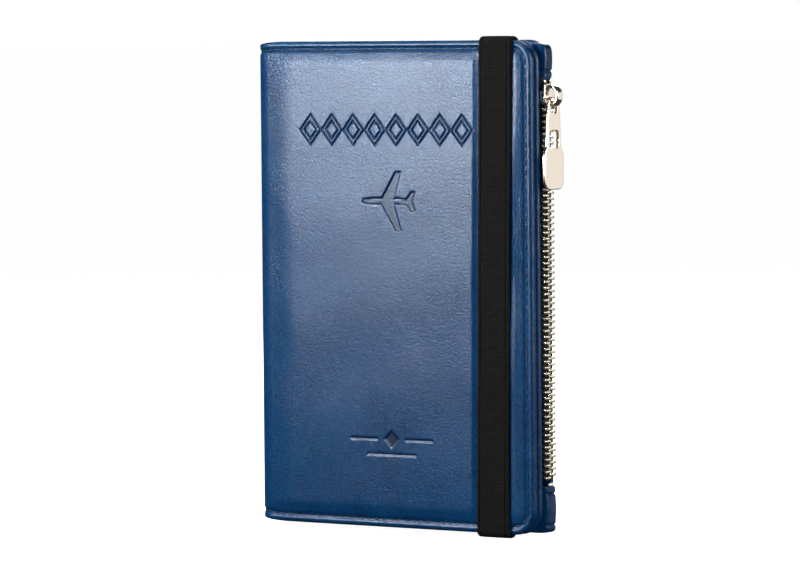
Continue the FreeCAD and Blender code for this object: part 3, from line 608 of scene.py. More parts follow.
def outline(u_lines, v_lines, inset, left_radius, open_left):
    """The outline's samples, for offsetting: base points on the inner grid, corner data.

    Returns arrays (base, outward, radius, corner, inward). radius is -1 on straight stretches.
    A sample at a corner of radius r lies, d inside the outline, at the corner plus r along
    both inward directions, plus (r - d) times outward, or plus d inward once d passes r.
    """
    left, right = u_lines[0], u_lines[-1]
    low, high = v_lines[0], v_lines[-1]
    blocks = []

    def straight(us, vs, out):
        n = len(us)
        blocks.append((np.stack([us, vs], 1), np.tile(out, (n, 1)), np.full(n, -1.0),
                       np.zeros((n, 2)), np.zeros((n, 2))))

    def corner(at, radius, start):
        angles = np.radians(start + np.linspace(0, 90, ARC_SAMPLES + 2))[1:-1]
        out = np.stack([np.cos(angles), np.sin(angles)], 1)
        n = len(angles)
        middle = math.radians(start + 45)
        inward = -np.sign([math.cos(middle), math.sin(middle)])
        tip = np.array(at) - inward * inset
        blocks.append((np.tile(at, (n, 1)), out, np.full(n, radius), np.tile(tip, (n, 1)),
                       np.tile(inward, (n, 1))))

    straight(u_lines, np.full(len(u_lines), low), (0, -1))
    corner((right, low), CORNER, -90)
    straight(np.full(len(v_lines), right), v_lines, (1, 0))
    corner((right, high), CORNER, 0)
    straight(u_lines[::-1], np.full(len(u_lines), high), (0, 1))
    if not open_left:
        corner((left, high), left_radius, 90)
        straight(np.full(len(v_lines), left), v_lines[::-1], (-1, 0))
        corner((left, low), left_radius, 180)
    return tuple(np.concatenate(column) for column in zip(*blocks))


def inside_outline(samples, inset, depth):
    """The outline's samples moved depth inside the outline; depth is one per sample."""
    base, outward, radius, tip, inward = samples
    depth = depth[:, None]
    on_edge = base + outward * (inset - depth)
    reach = radius[:, None]
    on_arc = tip + inward * reach + outward * (reach - depth)
    past = tip + inward * depth
    at_corner = np.where(depth < reach, on_arc, past)
    return np.where(reach < 0, on_edge, at_corner)


# %% [markdown]
# ## Building the shell
# A turned edge is one sheet of leather folded back on itself. A Solidify modifier would give it
# the same thickness all over, so the profile is built instead: rings of points start at the
# inner grid, go out and round the roll, and come back inside. The grid fills the outer face
# and a few long faces fill the inner one.

# %% The shell
def turned_shell(name, u_lines, v_lines, relief, full, under, place, material,
                 left_radius=1.5 * MM, open_left=False, turn=5 * MM, skin=LEATHER):
    """Leather with a rolled edge, as a closed shell.

    relief(u, v, inset) is the outer face's height. The rolled edge is full(u) thick, the
    turned-in strip under(u) and the single leather skin. place(u, v, h) puts it in space.
    """
    inset = v_lines[0]
    samples = outline(u_lines, v_lines, inset, left_radius, open_left)
    count = len(samples[0])
    roll, strip = full(samples[0][:, 0]), under(samples[0][:, 0])
    single = np.full(count, skin)
    zero = np.zeros(count)
    rings = [(zero + depth, zero, 1.0) for depth in (inset, *OUTER_DEPTHS)]
    for angle in np.radians(np.linspace(0, 180, 11)):
        rings.append((roll / 2 * (1 - math.sin(angle)), roll * (1 - math.cos(angle)) / 2,
                      (1 + math.cos(angle)) / 2))
    rings += [(zero + 2.40 * MM, roll, 0.0), (zero + 2.45 * MM, strip, 0.0), (zero + turn, strip, 0.0),
              (zero + turn + 0.15 * MM, single, 0.0), (zero + inset, single, 0.0)]
    band = []
    for depth, drop, share in rings:
        spot = inside_outline(samples, inset, np.minimum(depth, inset))
        height = relief(spot[:, 0], spot[:, 1], depth) * share
        band.append(place(spot[:, 0], spot[:, 1], height - drop))
    band = np.array(band)
    grid_u, grid_v = np.meshgrid(u_lines, v_lines)
    reach = np.minimum(np.minimum(grid_v, 2 * v_lines.mean() - grid_v), u_lines[-1] + inset - grid_u)
    if not open_left:
        reach = np.minimum(reach, grid_u - u_lines[0] + inset)
    outer = place(grid_u, grid_v, relief(grid_u.ravel(), grid_v.ravel(), reach.ravel())
                  .reshape(grid_u.shape))
    inner = np.stack([place(u_lines, np.full(len(u_lines), v), np.full(len(u_lines), -skin))
                      for v in (v_lines[0], v_lines[-1])])
    points = np.concatenate([band.reshape(-1, 3), outer.reshape(-1, 3), inner.reshape(-1, 3)])
    outer_start = band.shape[0] * count
    inner_start = outer_start + outer.shape[0] * outer.shape[1]
    rows, columns = grid_u.shape
    faces = [grid_faces(len(rings), count, 0, closed=not open_left),
             grid_faces(rows, columns, outer_start)]
    low = inner_start + np.arange(columns)
    high = low + columns
    faces.append(np.stack([low[1:-2], low[2:-1], high[2:-1], high[1:-2]], axis=1))
    last_ring = (len(rings) - 1) * count
    right_side = last_ring + columns + ARC_SAMPLES + np.arange(1, rows - 1)
    faces.append([[int(low[-2]), int(low[-1]), *right_side.tolist(), int(high[-1]), int(high[-2])]])
    if open_left:
        faces.append([[int(low[0]), int(low[1]), int(high[1]), int(high[0])]])
        left_column = outer_start + np.arange(1, rows - 1) * columns
        foot = np.arange(len(rings)) * count
        head = foot + count - 1
        faces.append([[*foot[::-1].tolist(), *left_column.tolist(), *head.tolist()]])
    else:
        left_side = last_ring + 2 * columns + rows + 3 * ARC_SAMPLES + np.arange(1, rows - 1)
        faces.append([[int(low[1]), int(low[0]), *left_side[::-1].tolist(), int(high[0]), int(high[1])]])
    return new_piece(name, points, faces, material)


# %% [markdown]
# ## Threads, tubes and plates
# Many small parts are the same few shapes, so each shape gets one function. A stitch is a short
# capsule of six sides that sinks at its ends. A tube is a pile of rings with its two ends
# closed. A thin plate is a tube whose first and last rings shrink a little.

# %% Stitches and closed tubes
OUTER_STITCH = 1.9 * MM
STITCH_PITCH = 2.7 * MM
THREAD_RADIUS = 0.20 * MM


def capsules(starts, ends, lifts, radius, place, sides=6):
    """Short round-ended threads from starts to ends in the strip, at heights lifts."""
    share = np.array([0.0, 0.06, 0.22, 0.5, 0.78, 0.94, 1.0])
    girth = np.array([0.0, 0.62, 0.95, 1.0, 0.95, 0.62, 0.0]) * radius
    sink = np.array([-1.3, -0.6, 0.0, 0.25, 0.0, -0.6, -1.3]) * radius
    angle = np.linspace(0, 2 * math.pi, sides, endpoint=False)
    run = ends - starts
    across = np.stack([-run[:, 1], run[:, 0]], 1) / np.hypot(run[:, 0], run[:, 1])[:, None]
    middle = starts[:, None, :] + share[None, :, None] * run[:, None, :]
    swing = girth[None, :, None] * np.cos(angle)[None, None, :]
    flat = middle[:, :, None, :] + swing[..., None] * across[:, None, None, :]
    height = lifts[:, None, None] + sink[None, :, None] + girth[None, :, None] * np.sin(angle)
    points = place(flat[..., 0].ravel(), flat[..., 1].ravel(), height.ravel())
    one = grid_faces(len(share), sides, 0, closed=True)
    starts_at = np.arange(len(starts)) * len(share) * sides
    return points, (one[None] + starts_at[:, None, None]).reshape(-1, 4)


def seam(path, place, lift, pitch=STITCH_PITCH, length=OUTER_STITCH):
    """Stitches along a polyline path of (u, v) points; lift is the thread's height."""
    step = np.hypot(*np.diff(path, axis=0).T)
    distance = np.concatenate([[0], np.cumsum(step)])
    count = int((distance[-1] - length) / pitch) + 1
    first = (distance[-1] - (count - 1) * pitch - length) / 2 + np.arange(count) * pitch
    at = [np.stack([np.interp(first + shift, distance, path[:, k]) for k in (0, 1)], 1)
          for shift in (0, length)]
    return capsules(at[0], at[1], np.full(count, lift), THREAD_RADIUS, place)


def sewn(name, path, place, lift):
    """A piece of stitches along a path, in the navy thread."""
    points, faces = seam(path, place, lift)
    print(name, len(faces) // 36, "stitches")
    return new_piece(name, points, [faces], THREAD, smooth_angle=None)


def inset_path(u0, u1, v0, v1, inset, open_left=False, left_radius=1.5 * MM):
    """The line inset from a rounded rectangle's edge, for a seam."""
    def arc(cu, cv, radius, start):
        angle = np.radians(np.linspace(start, start + 90, 13))
        return np.stack([cu + radius * np.cos(angle), cv + radius * np.sin(angle)], 1)

    r = max(CORNER - inset, 0.3 * MM)
    a, b, c, d = u0 + inset, u1 - inset, v0 + inset, v1 - inset
    right = [arc(b - r, c + r, r, -90), arc(b - r, d - r, r, 0)]
    if open_left:
        return np.concatenate([[[u0 + 0.4 * MM, c]], *right, [[u0 + 0.4 * MM, d]]])
    q = max(left_radius - inset, 0.3 * MM)
    return np.concatenate([*right, arc(a + q, d - q, q, 90), arc(a + q, c + q, q, 180),
                           [[b - r, c]]])


def tube(rings):
    """A closed tube through rings of points, an array (rings, points, 3), with flat ends."""
    rings = np.asarray(rings)
    count, around = rings.shape[:2]
    last = (count - 1) * around
    return rings.reshape(-1, 3), [grid_faces(count, around, 0, closed=True),
                                  [list(range(around))[::-1]], [list(range(last, last + around))]]


def rounded_outline(x0, x1, z0, z1, radii, per_corner=9):
    """A rectangle's outline with its own radius at each corner, from lower left round."""
    centres = [(x0, z0, 1, 1, 180), (x1, z0, -1, 1, 270), (x1, z1, -1, -1, 0), (x0, z1, 1, -1, 90)]
    parts = []
    for (x, z, sx, sz, start), radius in zip(centres, radii):
        angle = np.radians(np.linspace(start, start + 90, per_corner))
        parts.append(np.stack([x + sx * radius + radius * np.cos(angle),
                               z + sz * radius + radius * np.sin(angle)], 1))
    return np.concatenate(parts)


def flat_piece(name, outline_xz, y0, y1, material, soft=0.12 * MM, smooth_angle=50):
    """A thin plate of the outline between y0 and y1, its rims rounded by soft."""
    nxt, prev = np.roll(outline_xz, -1, 0), np.roll(outline_xz, 1, 0)
    run = nxt - prev
    inward = np.stack([-run[:, 1], run[:, 0]], 1) / np.hypot(run[:, 0], run[:, 1])[:, None]
    soft = min(soft, (y1 - y0) / 2)
    rings = []
    for end, sign in ((y0, 1), (y1, -1)):
        angles = np.radians(np.linspace(0, 90, 4) if sign > 0 else np.linspace(90, 0, 4))
        for angle in angles:
            flat = outline_xz + inward * soft * (1 - math.sin(angle))
            y = end + sign * soft * (1 - math.cos(angle))
            rings.append(np.stack([flat[:, 0], np.full(len(flat), y), flat[:, 1]], 1))
    points, faces = tube(rings)
    return new_piece(name, points, faces, material, smooth_angle=smooth_angle)


# %% [markdown]
# ## The covers and the spine
# One piece of leather covers the front, the spine and the back. It folds at two lines, so it
# is made here in two skins that meet in the middle of the spine: each skin turns smoothly
# from the spine's body to its cover's body. The foam under it makes it a padded piece.

# %% Front and back skins
SHELL_INSET = CORNER
FOLD_STEP = 0.55 * MM
u_end = COVER_U - SHELL_INSET
border_u = along_x(BORDER_X)
front_u = lines([(0.0, FOLD_STEP), (FOLD_LENGTH + 2 * MM, 1.2 * MM), (border_u - 0.6 * MM, 0.25 * MM),
                 (border_u + BORDER_LENGTH + 0.4 * MM, 1.3 * MM), (u_end, 1.0)])
front_v = lines([(SHELL_INSET, 1.5 * MM), (MARK_V - 5.6 * MM, 0.28 * MM), (MARK_V + 3.4 * MM, 1.6 * MM),
                 (PLANE_V - 9.6 * MM, 0.32 * MM), (PLANE_V + 9.6 * MM, 1.2 * MM),
                 (BORDER_V - LOZENGE_TALL - 0.7 * MM, 0.23 * MM),
                 (BORDER_V + LOZENGE_TALL + 0.7 * MM, 1.5 * MM),
                 (HEIGHT - SHELL_INSET, 1.0)])
back_u = lines([(0.0, FOLD_STEP), (FOLD_LENGTH + 2 * MM, 1.5 * MM), (BACK_U - SHELL_INSET, 1.0)])
back_v = lines([(SHELL_INSET, 1.5 * MM), (HEIGHT - SHELL_INSET, 1.0)])
FRONT_ROLL = front_high[1] - FRONT_Y
BACK_ROLL = BACK_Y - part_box("back_cover_board")[0][1]


def thickens(at_spine, at_cover):
    """A thickness that grows from the spine's to the cover's just past the fold."""
    start, end = FOLD_LENGTH - 3 * MM, FOLD_LENGTH + 4 * MM
    return lambda u: at_spine + (at_cover - at_spine) * smooth_step(u, start, end)


def on_front(u, v, h):
    """The strip folded to the front."""
    return fold(u, v, h, -1)


def on_back(u, v, h):
    """The strip folded to the back."""
    return fold(u, v, h, 1)


front_skin = turned_shell("front_cover_skin", front_u, front_v, front_relief,
                          thickens(1.3 * MM, FRONT_ROLL), thickens(LEATHER, FRONT_ROLL - 0.42 * MM),
                          on_front, PRESSED_SHADE_BLUE, open_left=True)
back_skin = turned_shell("back_cover_skin", back_u, back_v, back_relief,
                         thickens(1.3 * MM, BACK_ROLL), thickens(LEATHER, BACK_ROLL - 0.02 * MM),
                         on_back, LEATHER_BLUE, open_left=True)
# Painted shade: the 'pressed' attribute tells the front skin's material where to paint the pressed marks
# darker, partly their own tone and partly painted shade in the grooves.
spots = np.empty(len(front_skin.data.vertices) * 3)
front_skin.data.vertices.foreach_get("co", spots)
spots = spots.reshape(-1, 3)
on_face = (spots[:, 1] < FRONT_Y + 0.9 * MM) & (spots[:, 0] > FOLD_X)
share = pressed_tone_and_shade(along_x(spots[:, 0] - SPINE_X), spots[:, 2] - FOOT_Z) * on_face
pressed_shade_mark = front_skin.data.attributes.new("pressed", "FLOAT", "POINT")
pressed_shade_mark.data.foreach_set("value", share.astype(np.float32))
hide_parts("front_cover_leather", "spine_leather")
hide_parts("back_cover_leather")


def fold_with(piece, side):
    """Bakes a piece's transform into its mesh, the same way for the front fold (side -1) and the back fold
    (side +1).
    """
    if side < 0:
        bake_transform(piece)
    else:
        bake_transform(piece)


fold_with(front_skin, -1)
fold_with(back_skin, 1)
print("front skin", len(front_skin.data.polygons), "faces")

# %% [markdown]
# ## Seams
# A row of saddle stitches runs a little in from the edge all the way round, along the groove
# that it pulls into the leather. Each stitch is a short thread whose ends dip into the leather.

# %% The cover seams
THREAD_LIFT = 0.14 * MM
for label, place, side, wide in (("front", on_front, -1, COVER_U), ("back", on_back, 1, BACK_U)):
    path = inset_path(0.0, wide, 0.0, HEIGHT, SEAM_INSET, open_left=True)
    fold_with(sewn(label + "_cover_stitches", path, place, THREAD_LIFT - GROOVE), side)

# %% [markdown]
# ## Inside the covers
# Opened out, the wallet shows a twill lining, a leather sleeve that takes the passport's
# cover, and three card slots on the middle panel. The flat parts have softened rims, and the
# slots and the sleeve are sewn down round three sides.

# %% Linings
def cad_outline(node, radii):
    """The rounded outline of a CAD node, and its two faces' y."""
    low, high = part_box(node)
    return rounded_outline(low[0], high[0], low[2], high[2], radii), low[1], high[1]


for node, radii in (("front_cover_lining", (0.2, 4.5, 4.5, 0.2)), ("pocket_lining_back", (1, 4, 4, 1)),
                    ("pocket_lining_front", (1, 4, 4, 1))):
    shape, near, far = cad_outline(node, [r * MM for r in radii])
    lining = flat_piece(node + "_twill", shape, near, far, LINING)
    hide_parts(node)
    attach(lining, "front_cover" if node.startswith("front") else "back_half")

spine_v = lines([(2.6 * MM, 4 * MM), (HEIGHT - 2.6 * MM, 1.0)])
for side, end_drop in ((-1, 1.2 * MM), (1, 0.0)):
    spine_u = lines([(0.0, 0.6 * MM), (FOLD_LENGTH - 0.1 * MM, 1.0)])
    rings = []
    for v in spine_v:
        drop = LEATHER + 0.03 * MM + end_drop * smooth_step(spine_u, 4.5 * MM, FOLD_LENGTH)
        outer = fold(spine_u, v, -drop, side)
        inner = fold(spine_u[::-1], v, -(drop + 0.28 * MM)[::-1], side)
        rings.append(np.concatenate([outer, inner]))
    points, faces = tube(rings)
    lining = new_piece("spine_lining_" + ("front" if side < 0 else "back"), points, faces, LINING)
    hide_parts("spine_lining")
    fold_with(lining, side)


# %% [markdown]
# ## The sleeve
# The passport's cover slides behind a flap sewn round three sides. A round notch lets a finger
# reach it; the notch is cut by adding an arc to the flap's outline.

# %% The passport sleeve
def notched(x0, x1, z0, z1, radii, centre, radius, edge):
    """A rounded rectangle with a round notch in one edge: 'left' or 'top'."""
    shape = rounded_outline(x0, x1, z0, z1, radii)
    angle = np.radians(np.linspace(90, -90, 29) if edge == "left" else np.linspace(0, -180, 29))
    notch = np.stack([centre[0] + radius * np.cos(angle), centre[1] + radius * np.sin(angle)], 1)
    if edge == "left":
        return np.concatenate([shape, notch])
    cut = 3 * len(shape) // 4
    return np.concatenate([shape[:cut], notch, shape[cut:]])


sleeve_low, sleeve_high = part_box("passport_sleeve")
NOTCH_RADIUS = 14 * MM
sleeve_middle = (sleeve_low[2] + sleeve_high[2]) / 2
sleeve = flat_piece("passport_sleeve_leather",
                    notched(sleeve_low[0], sleeve_high[0], sleeve_low[2], sleeve_high[2],
                            [0.6 * MM, 4.5 * MM, 4.5 * MM, 0.6 * MM],
                            (sleeve_low[0], sleeve_middle), NOTCH_RADIUS, "left"),
                    sleeve_low[1], sleeve_high[1], EDGE_BLUE)
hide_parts("passport_sleeve")
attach(sleeve, "front_cover")


def facing_back(y):
    """Puts (x, z, h) on a face at y that looks along +Y."""
    return lambda u, v, h: np.stack([u, y + h, v], axis=-1)


def facing_front(y):
    """Puts (x, z, h) on a face at y that looks along -Y."""
    return lambda u, v, h: np.stack([u, y - h, v], axis=-1)


SLEEVE_SEAM = 1.8 * MM
FLAT_LIFT = 0.08 * MM
inner = [sleeve_low[0] + SLEEVE_SEAM, sleeve_high[0] - SLEEVE_SEAM,
         sleeve_low[2] + SLEEVE_SEAM, sleeve_high[2] - SLEEVE_SEAM]
path = np.array([[inner[0], inner[2]], [inner[1], inner[2]], [inner[1], inner[3]], [inner[0], inner[3]]])
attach(sewn("passport_sleeve_stitches", path, facing_back(sleeve_high[1]), FLAT_LIFT), "front_cover")

# %% [markdown]
# ## The panel behind the front cover
# The card panel has the same turned edge as the covers, so the same shell makes it, facing the
# other way and without any relief.

# %% The middle panel
panel_low, panel_high = (np.array(corner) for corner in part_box("card_panel_leather"))
PANEL_THICK = panel_high[1] - panel_low[1]
PANEL_SKIN = 0.5 * MM


def on_panel(u, v, h):
    """The middle panel's leather: its plain side looks back, its turned edge forward."""
    return np.stack([panel_low[0] + u, panel_high[1] + h, panel_low[2] + v], axis=-1)


panel_u = lines([(SHELL_INSET, 3 * MM), (panel_high[0] - panel_low[0] - SHELL_INSET, 1.0)])
panel_v = lines([(SHELL_INSET, 3 * MM), (panel_high[2] - panel_low[2] - SHELL_INSET, 1.0)])
panel_skin = turned_shell("card_panel_skin", panel_u, panel_v, lambda u, v, inset: 0 * u,
                          lambda u: 0 * u + PANEL_THICK, lambda u: 0 * u + PANEL_THICK, on_panel,
                          LEATHER_BLUE, skin=PANEL_SKIN)
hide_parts("card_panel_leather")
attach(panel_skin, "back_half")
print("card panel skin", len(panel_skin.data.polygons), "faces")
path = inset_path(panel_low[0], panel_high[0], panel_low[2], panel_high[2], SEAM_INSET)
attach(sewn("card_panel_stitches", path, facing_front(panel_low[1]), 0.10 * MM), "back_half")

# %% [markdown]
# ## Three card slots
# Each slot is a piece of leather sewn down at the sides and the foot, with a thumb notch in its
# mouth. All three are one plate made in a loop, and their places come from the CAD boxes.

# %% The card slots
THUMB_RADIUS = 9 * MM
for level in ("upper", "middle", "lower"):
    low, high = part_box("card_slot_" + level)
    middle = (low[0] + high[0]) / 2
    shape = notched(low[0], high[0], low[2], high[2], [0.8 * MM, 4 * MM, 0.8 * MM, 0.8 * MM],
                    (middle, high[2]), THUMB_RADIUS, "top")
    card_slot = flat_piece("card_slot_" + level + "_leather", shape, low[1], high[1], EDGE_BLUE)
    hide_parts("card_slot_" + level)
    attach(card_slot, "back_half")
    edges = [(low[0] + SLEEVE_SEAM, high[2] - 1.5 * MM), (low[0] + SLEEVE_SEAM, low[2] + SLEEVE_SEAM),
             (high[0] - SLEEVE_SEAM, low[2] + SLEEVE_SEAM), (high[0] - SLEEVE_SEAM, high[2] - 1.5 * MM)]
    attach(sewn("card_slot_" + level + "_stitches", np.array(edges), facing_front(low[1]), FLAT_LIFT),
            "back_half")

# %% [markdown]
# ## The zipped pocket
# Between the middle panel and the back cover is a pocket. A folded gusset closes it at the
# spine, the head and the foot; the zipper closes the fore edge. At each end of the zipper the
# tape disappears under a plump leather tab.

# %% The gusset
gusset_low, gusset_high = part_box("pocket_gusset")
GUSSET_FOLD = 1.4 * MM
GUSSET_CLOTH = 0.45 * MM
line_in = rounded_outline(gusset_low[0], gusset_high[0] + 20 * MM, gusset_low[2], gusset_high[2],
                          [3 * MM] * 4)
corner_points = len(line_in) // 4
wall = np.concatenate([[[gusset_high[0], gusset_high[2]]], line_in[3 * corner_points:],
                       line_in[:corner_points], [[gusset_high[0], gusset_low[2]]]])
run = np.gradient(wall, axis=0)
wall_in = np.stack([-run[:, 1], run[:, 0]], 1) / np.hypot(run[:, 0], run[:, 1])[:, None]
wall_in[0], wall_in[-1] = (0, -1), (0, 1)
depth_y = np.linspace(gusset_low[1], gusset_high[1], 13)
sag = GUSSET_FOLD * np.sin(np.linspace(0, math.pi, 13)) ** 2
loops = []
for spot, inward in zip(wall, wall_in):
    near = np.stack([spot[0] + inward[0] * sag, depth_y, spot[1] + inward[1] * sag], 1)
    away = np.stack([spot[0] + inward[0] * (sag + GUSSET_CLOTH), depth_y,
                     spot[1] + inward[1] * (sag + GUSSET_CLOTH)], 1)[::-1]
    loops.append(np.concatenate([near, away]))
points, faces = tube(loops)
gusset = new_piece("pocket_gusset_cloth", points, faces, LINING)
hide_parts("pocket_gusset")
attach(gusset, "back_half")


# %% [markdown]
# ## Two tabs
# A folded tab is plump, so a box would look wrong. Squarish loops are piled up, rounded at the
# ends and drawn in at each hem. The squared loop is a circle whose sines are bent.

# %% The leather tabs at the zipper's ends
def squared(angle, power):
    """Cosine and sine bent towards a square: sign times the absolute value to 2 / power."""
    c, s = np.cos(angle), np.sin(angle)
    return (np.sign(c) * np.abs(c) ** (2 / power), np.sign(s) * np.abs(s) ** (2 / power))


TAB_RIM, TAB_BELLY, HEM_WIDTH = 0.8 * MM, 0.30 * MM, 0.34 * MM
END_CROWDING = 0.55


def round_off(distance, radius):
    """What a quarter circle takes off an edge at a distance from the end: r - sqrt(r^2 - (r - d)^2)."""
    return radius * (1 - math.sqrt(max(0.0, 1 - max(0.0, 1 - distance / radius) ** 2)))


def pillow_tab(name, node, box, corner_at_head, corner, hems):
    """A plump folded tab: squarish loops stacked upwards, rounded at the ends and nipped at hems."""
    low, high = box
    around = np.linspace(0, 2 * math.pi, 64, endpoint=False)
    cx, cy = squared(around, 5.0)
    levels = np.linspace(0, 1, 71)
    crowd = np.sin(2 * math.pi * levels) / (2 * math.pi) * END_CROWDING
    levels = low[2] + (high[2] - low[2]) * (levels - crowd)
    loops = []
    for z in levels:
        to_end = min(z - low[2], high[2] - z)
        nip = round_off(to_end, TAB_RIM)
        for hem, deep in hems:
            nip += deep * math.exp(-((z - hem) / HEM_WIDTH) ** 2)
        to_corner = high[2] - z if corner_at_head else z - low[2]
        lost = round_off(to_corner, corner)
        rise = (z - low[2]) / (high[2] - low[2])
        belly = TAB_BELLY * (1 - math.sin(math.pi * rise))
        crease = 0.05 * MM * math.sin(z / MM * 0.9) * math.sin(math.pi * rise)
        fore = high[0] - lost - nip - belly + crease
        half_x, half_y = (fore - low[0]) / 2, (high[1] - low[1]) / 2 - nip * 0.6 - belly * 0.4
        loops.append(np.stack([(fore + low[0]) / 2 + half_x * cx, (low[1] + high[1]) / 2 + half_y * cy,
                               np.full(len(cx), z)], 1))
    points, faces = tube(loops)
    tab = new_piece(name, points, faces, EDGE_BLUE, smooth_angle=60)
    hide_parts(node)
    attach(tab, "back_half")
    return tab


top_tab = [np.array(corner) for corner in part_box("zipper_end_tab_top")]
foot_tab = [np.array(corner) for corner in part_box("zipper_end_tab_bottom")]
HEM = 2.4 * MM
top_tab[0] = top_tab[0] + [0, 1.3 * MM, -0.85 * MM]
top_tab[1] = top_tab[1] + [0.5 * MM, 0, 0]
foot_tab[0] = foot_tab[0] + [0, 0.5 * MM, 0]
pillow_tab("zipper_tab_top_leather", "zipper_end_tab_top", top_tab, True, 2.2 * MM,
           [(top_tab[0][2] + HEM, 0.42 * MM)])
pillow_tab("zipper_tab_bottom_leather", "zipper_end_tab_bottom", foot_tab, False, 1.3 * MM,
           [(foot_tab[1][2] - HEM, 0.42 * MM), (foot_tab[0][2] + HEM, 0.36 * MM)])

# %% [markdown]
# ## The tape in four strips
# The zipper's woven tape runs flat out of the pocket and then turns towards the teeth. Each side
# is one profile carried upwards. It is made in a lower and an upper half.

# %% The tapes
teeth_low, teeth_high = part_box("zipper_teeth_front")
back_teeth_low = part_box("zipper_teeth_back")[0]
tape_low, tape_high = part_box("zipper_tape_front")
back_tape_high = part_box("zipper_tape_back")[1]
CHAIN_Y = (tape_low[1] + back_tape_high[1]) / 2
TAPE_RADIUS = (back_tape_high[1] - tape_low[1]) / 2
TAPE_X = tape_low[0] + 5.0 * MM
TAPE_THICK = 0.55 * MM
SQUARE = 0.55
SPLIT_Z = tape_low[2] + 60 * MM


def open_lip(piece, lower):
    """Bakes half a lip of the zipper's transform into its mesh, the same way for the lower and the upper
    half.
    """
    if lower:
        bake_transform(piece)
    else:
        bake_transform(piece)


def tape_profile(radius, flat_x, angle):
    """The tape in (x, distance from the middle): flat, then a quarter of a squared circle."""
    across = np.concatenate([flat_x, TAPE_X + radius * np.sin(angle) ** SQUARE])
    away = np.concatenate([0 * flat_x + radius, radius * np.cos(angle) ** SQUARE])
    return np.stack([across, away], 1)


for lip, side in (("front", -1), ("back", 1)):
    last = math.acos(((CHAIN_Y - tape_high[1]) / TAPE_RADIUS) ** (1 / SQUARE))
    angle = np.linspace(0, last, 16)
    flat_x = np.linspace(tape_low[0], TAPE_X, 4)[:-1]
    for half, (z0, z1) in (("lower", (tape_low[2], SPLIT_Z)), ("upper", (SPLIT_Z, tape_high[2]))):
        loops = []
        for z in np.linspace(z0, z1, 60):
            wave = 0.10 * MM * math.sin(z / MM * 0.37 + side) + 0.06 * MM * math.sin(z / MM * 0.93)
            ease = math.sin(math.pi * min(1.0, (z - tape_low[2]) / (4 * MM)) / 2)
            radius = TAPE_RADIUS - 0.14 * MM + wave * ease
            outer = tape_profile(radius, flat_x, angle)
            inner = tape_profile(radius - TAPE_THICK, flat_x, angle)[::-1]
            ring = np.concatenate([outer, inner])
            loops.append(np.stack([ring[:, 0], CHAIN_Y + side * ring[:, 1], np.full(len(ring), z)], 1))
        points, faces = tube(loops)
        tape = new_piece("zipper_tape_%s_%s" % (lip, half), points, faces, TAPE)
        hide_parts("zipper_tape_" + lip)
        open_lip(tape, half == "lower")
print("tape turns on a radius of", round(TAPE_RADIUS / MM, 2), "mm")

# %% [markdown]
# ## Teeth
# The zipper has two rows of small metal teeth that pass between each other. A tooth is a ball
# squared off into a block by a power below one, which rounds its edges without a modifier. Its
# few faces are repeated for a whole row by adding an array of heights.

# %% The teeth
PITCH = 1.8 * MM
TOOTH_THICK = 0.86 * MM
HEAD_PAST = 0.55 * MM
TOOTH_ROOT = 2.75 * MM
latitude = np.linspace(-math.pi / 2, math.pi / 2, 7)
longitude = np.linspace(0, 2 * math.pi, 12, endpoint=False)
flat_lat, flat_long = np.meshgrid(latitude, longitude, indexing="ij")


def soft_power(value, power):
    """Sign times the absolute value to a power: below 1 it squares off a ball."""
    return np.sign(value) * np.abs(value) ** power


BLOCK = np.stack([soft_power(np.cos(flat_lat), 0.28) * soft_power(np.cos(flat_long), 0.28),
                  soft_power(np.cos(flat_lat), 0.28) * soft_power(np.sin(flat_long), 0.28),
                  soft_power(np.sin(flat_lat), 0.5)], -1).reshape(-1, 3)
BLOCK_FACES = grid_faces(7, 12, 0, closed=True)


def tooth_row(name, heights, side):
    """Teeth of one row at the given heights, as one mesh of rounded blocks."""
    inner_y = CHAIN_Y + side * -HEAD_PAST
    outer_y = CHAIN_Y + side * TOOTH_ROOT
    centre = np.array([(teeth_low[0] + teeth_high[0]) / 2, (inner_y + outer_y) / 2, 0])
    size = np.array([(teeth_high[0] - teeth_low[0]) / 2, abs(outer_y - inner_y) / 2, TOOTH_THICK / 2])
    block = centre + BLOCK * size
    points = block[None] + np.stack([0 * heights, 0 * heights, heights], 1)[:, None]
    starts = np.arange(len(heights)) * len(BLOCK)
    faces = (BLOCK_FACES[None] + starts[:, None, None]).reshape(-1, 4)
    return new_piece(name, points, [faces], TOOTH_GOLD, smooth_angle=55)


for lip, side, first in (("front", -1, teeth_low[2]), ("back", 1, back_teeth_low[2])):
    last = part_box("zipper_teeth_" + lip)[1][2]
    heights = np.arange(first + TOOTH_THICK / 2, last, PITCH)
    for half, chosen in (("lower", heights[heights < SPLIT_Z]), ("upper", heights[heights >= SPLIT_Z])):
        row = tooth_row("zipper_teeth_%s_%s" % (lip, half), chosen, side)
        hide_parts("zipper_teeth_" + lip)
        open_lip(row, half == "lower")
    print(lip, "row", len(heights), "teeth")


# %% [markdown]
# ## Metal parts
# The slider, its loop and the pull tab are stamped from sheet metal and plated a pale gold.
# Each is a flat outline with rounded rims, made by extruding a filled curve.

# %% Outlines in metal
def arc_points(centre, radius, start, end, count=12):
    """Points along an arc, in degrees."""
    angle = np.radians(np.linspace(start, end, count))
    return np.stack([centre[0] + radius * np.cos(angle), centre[1] + radius * np.sin(angle)], 1)


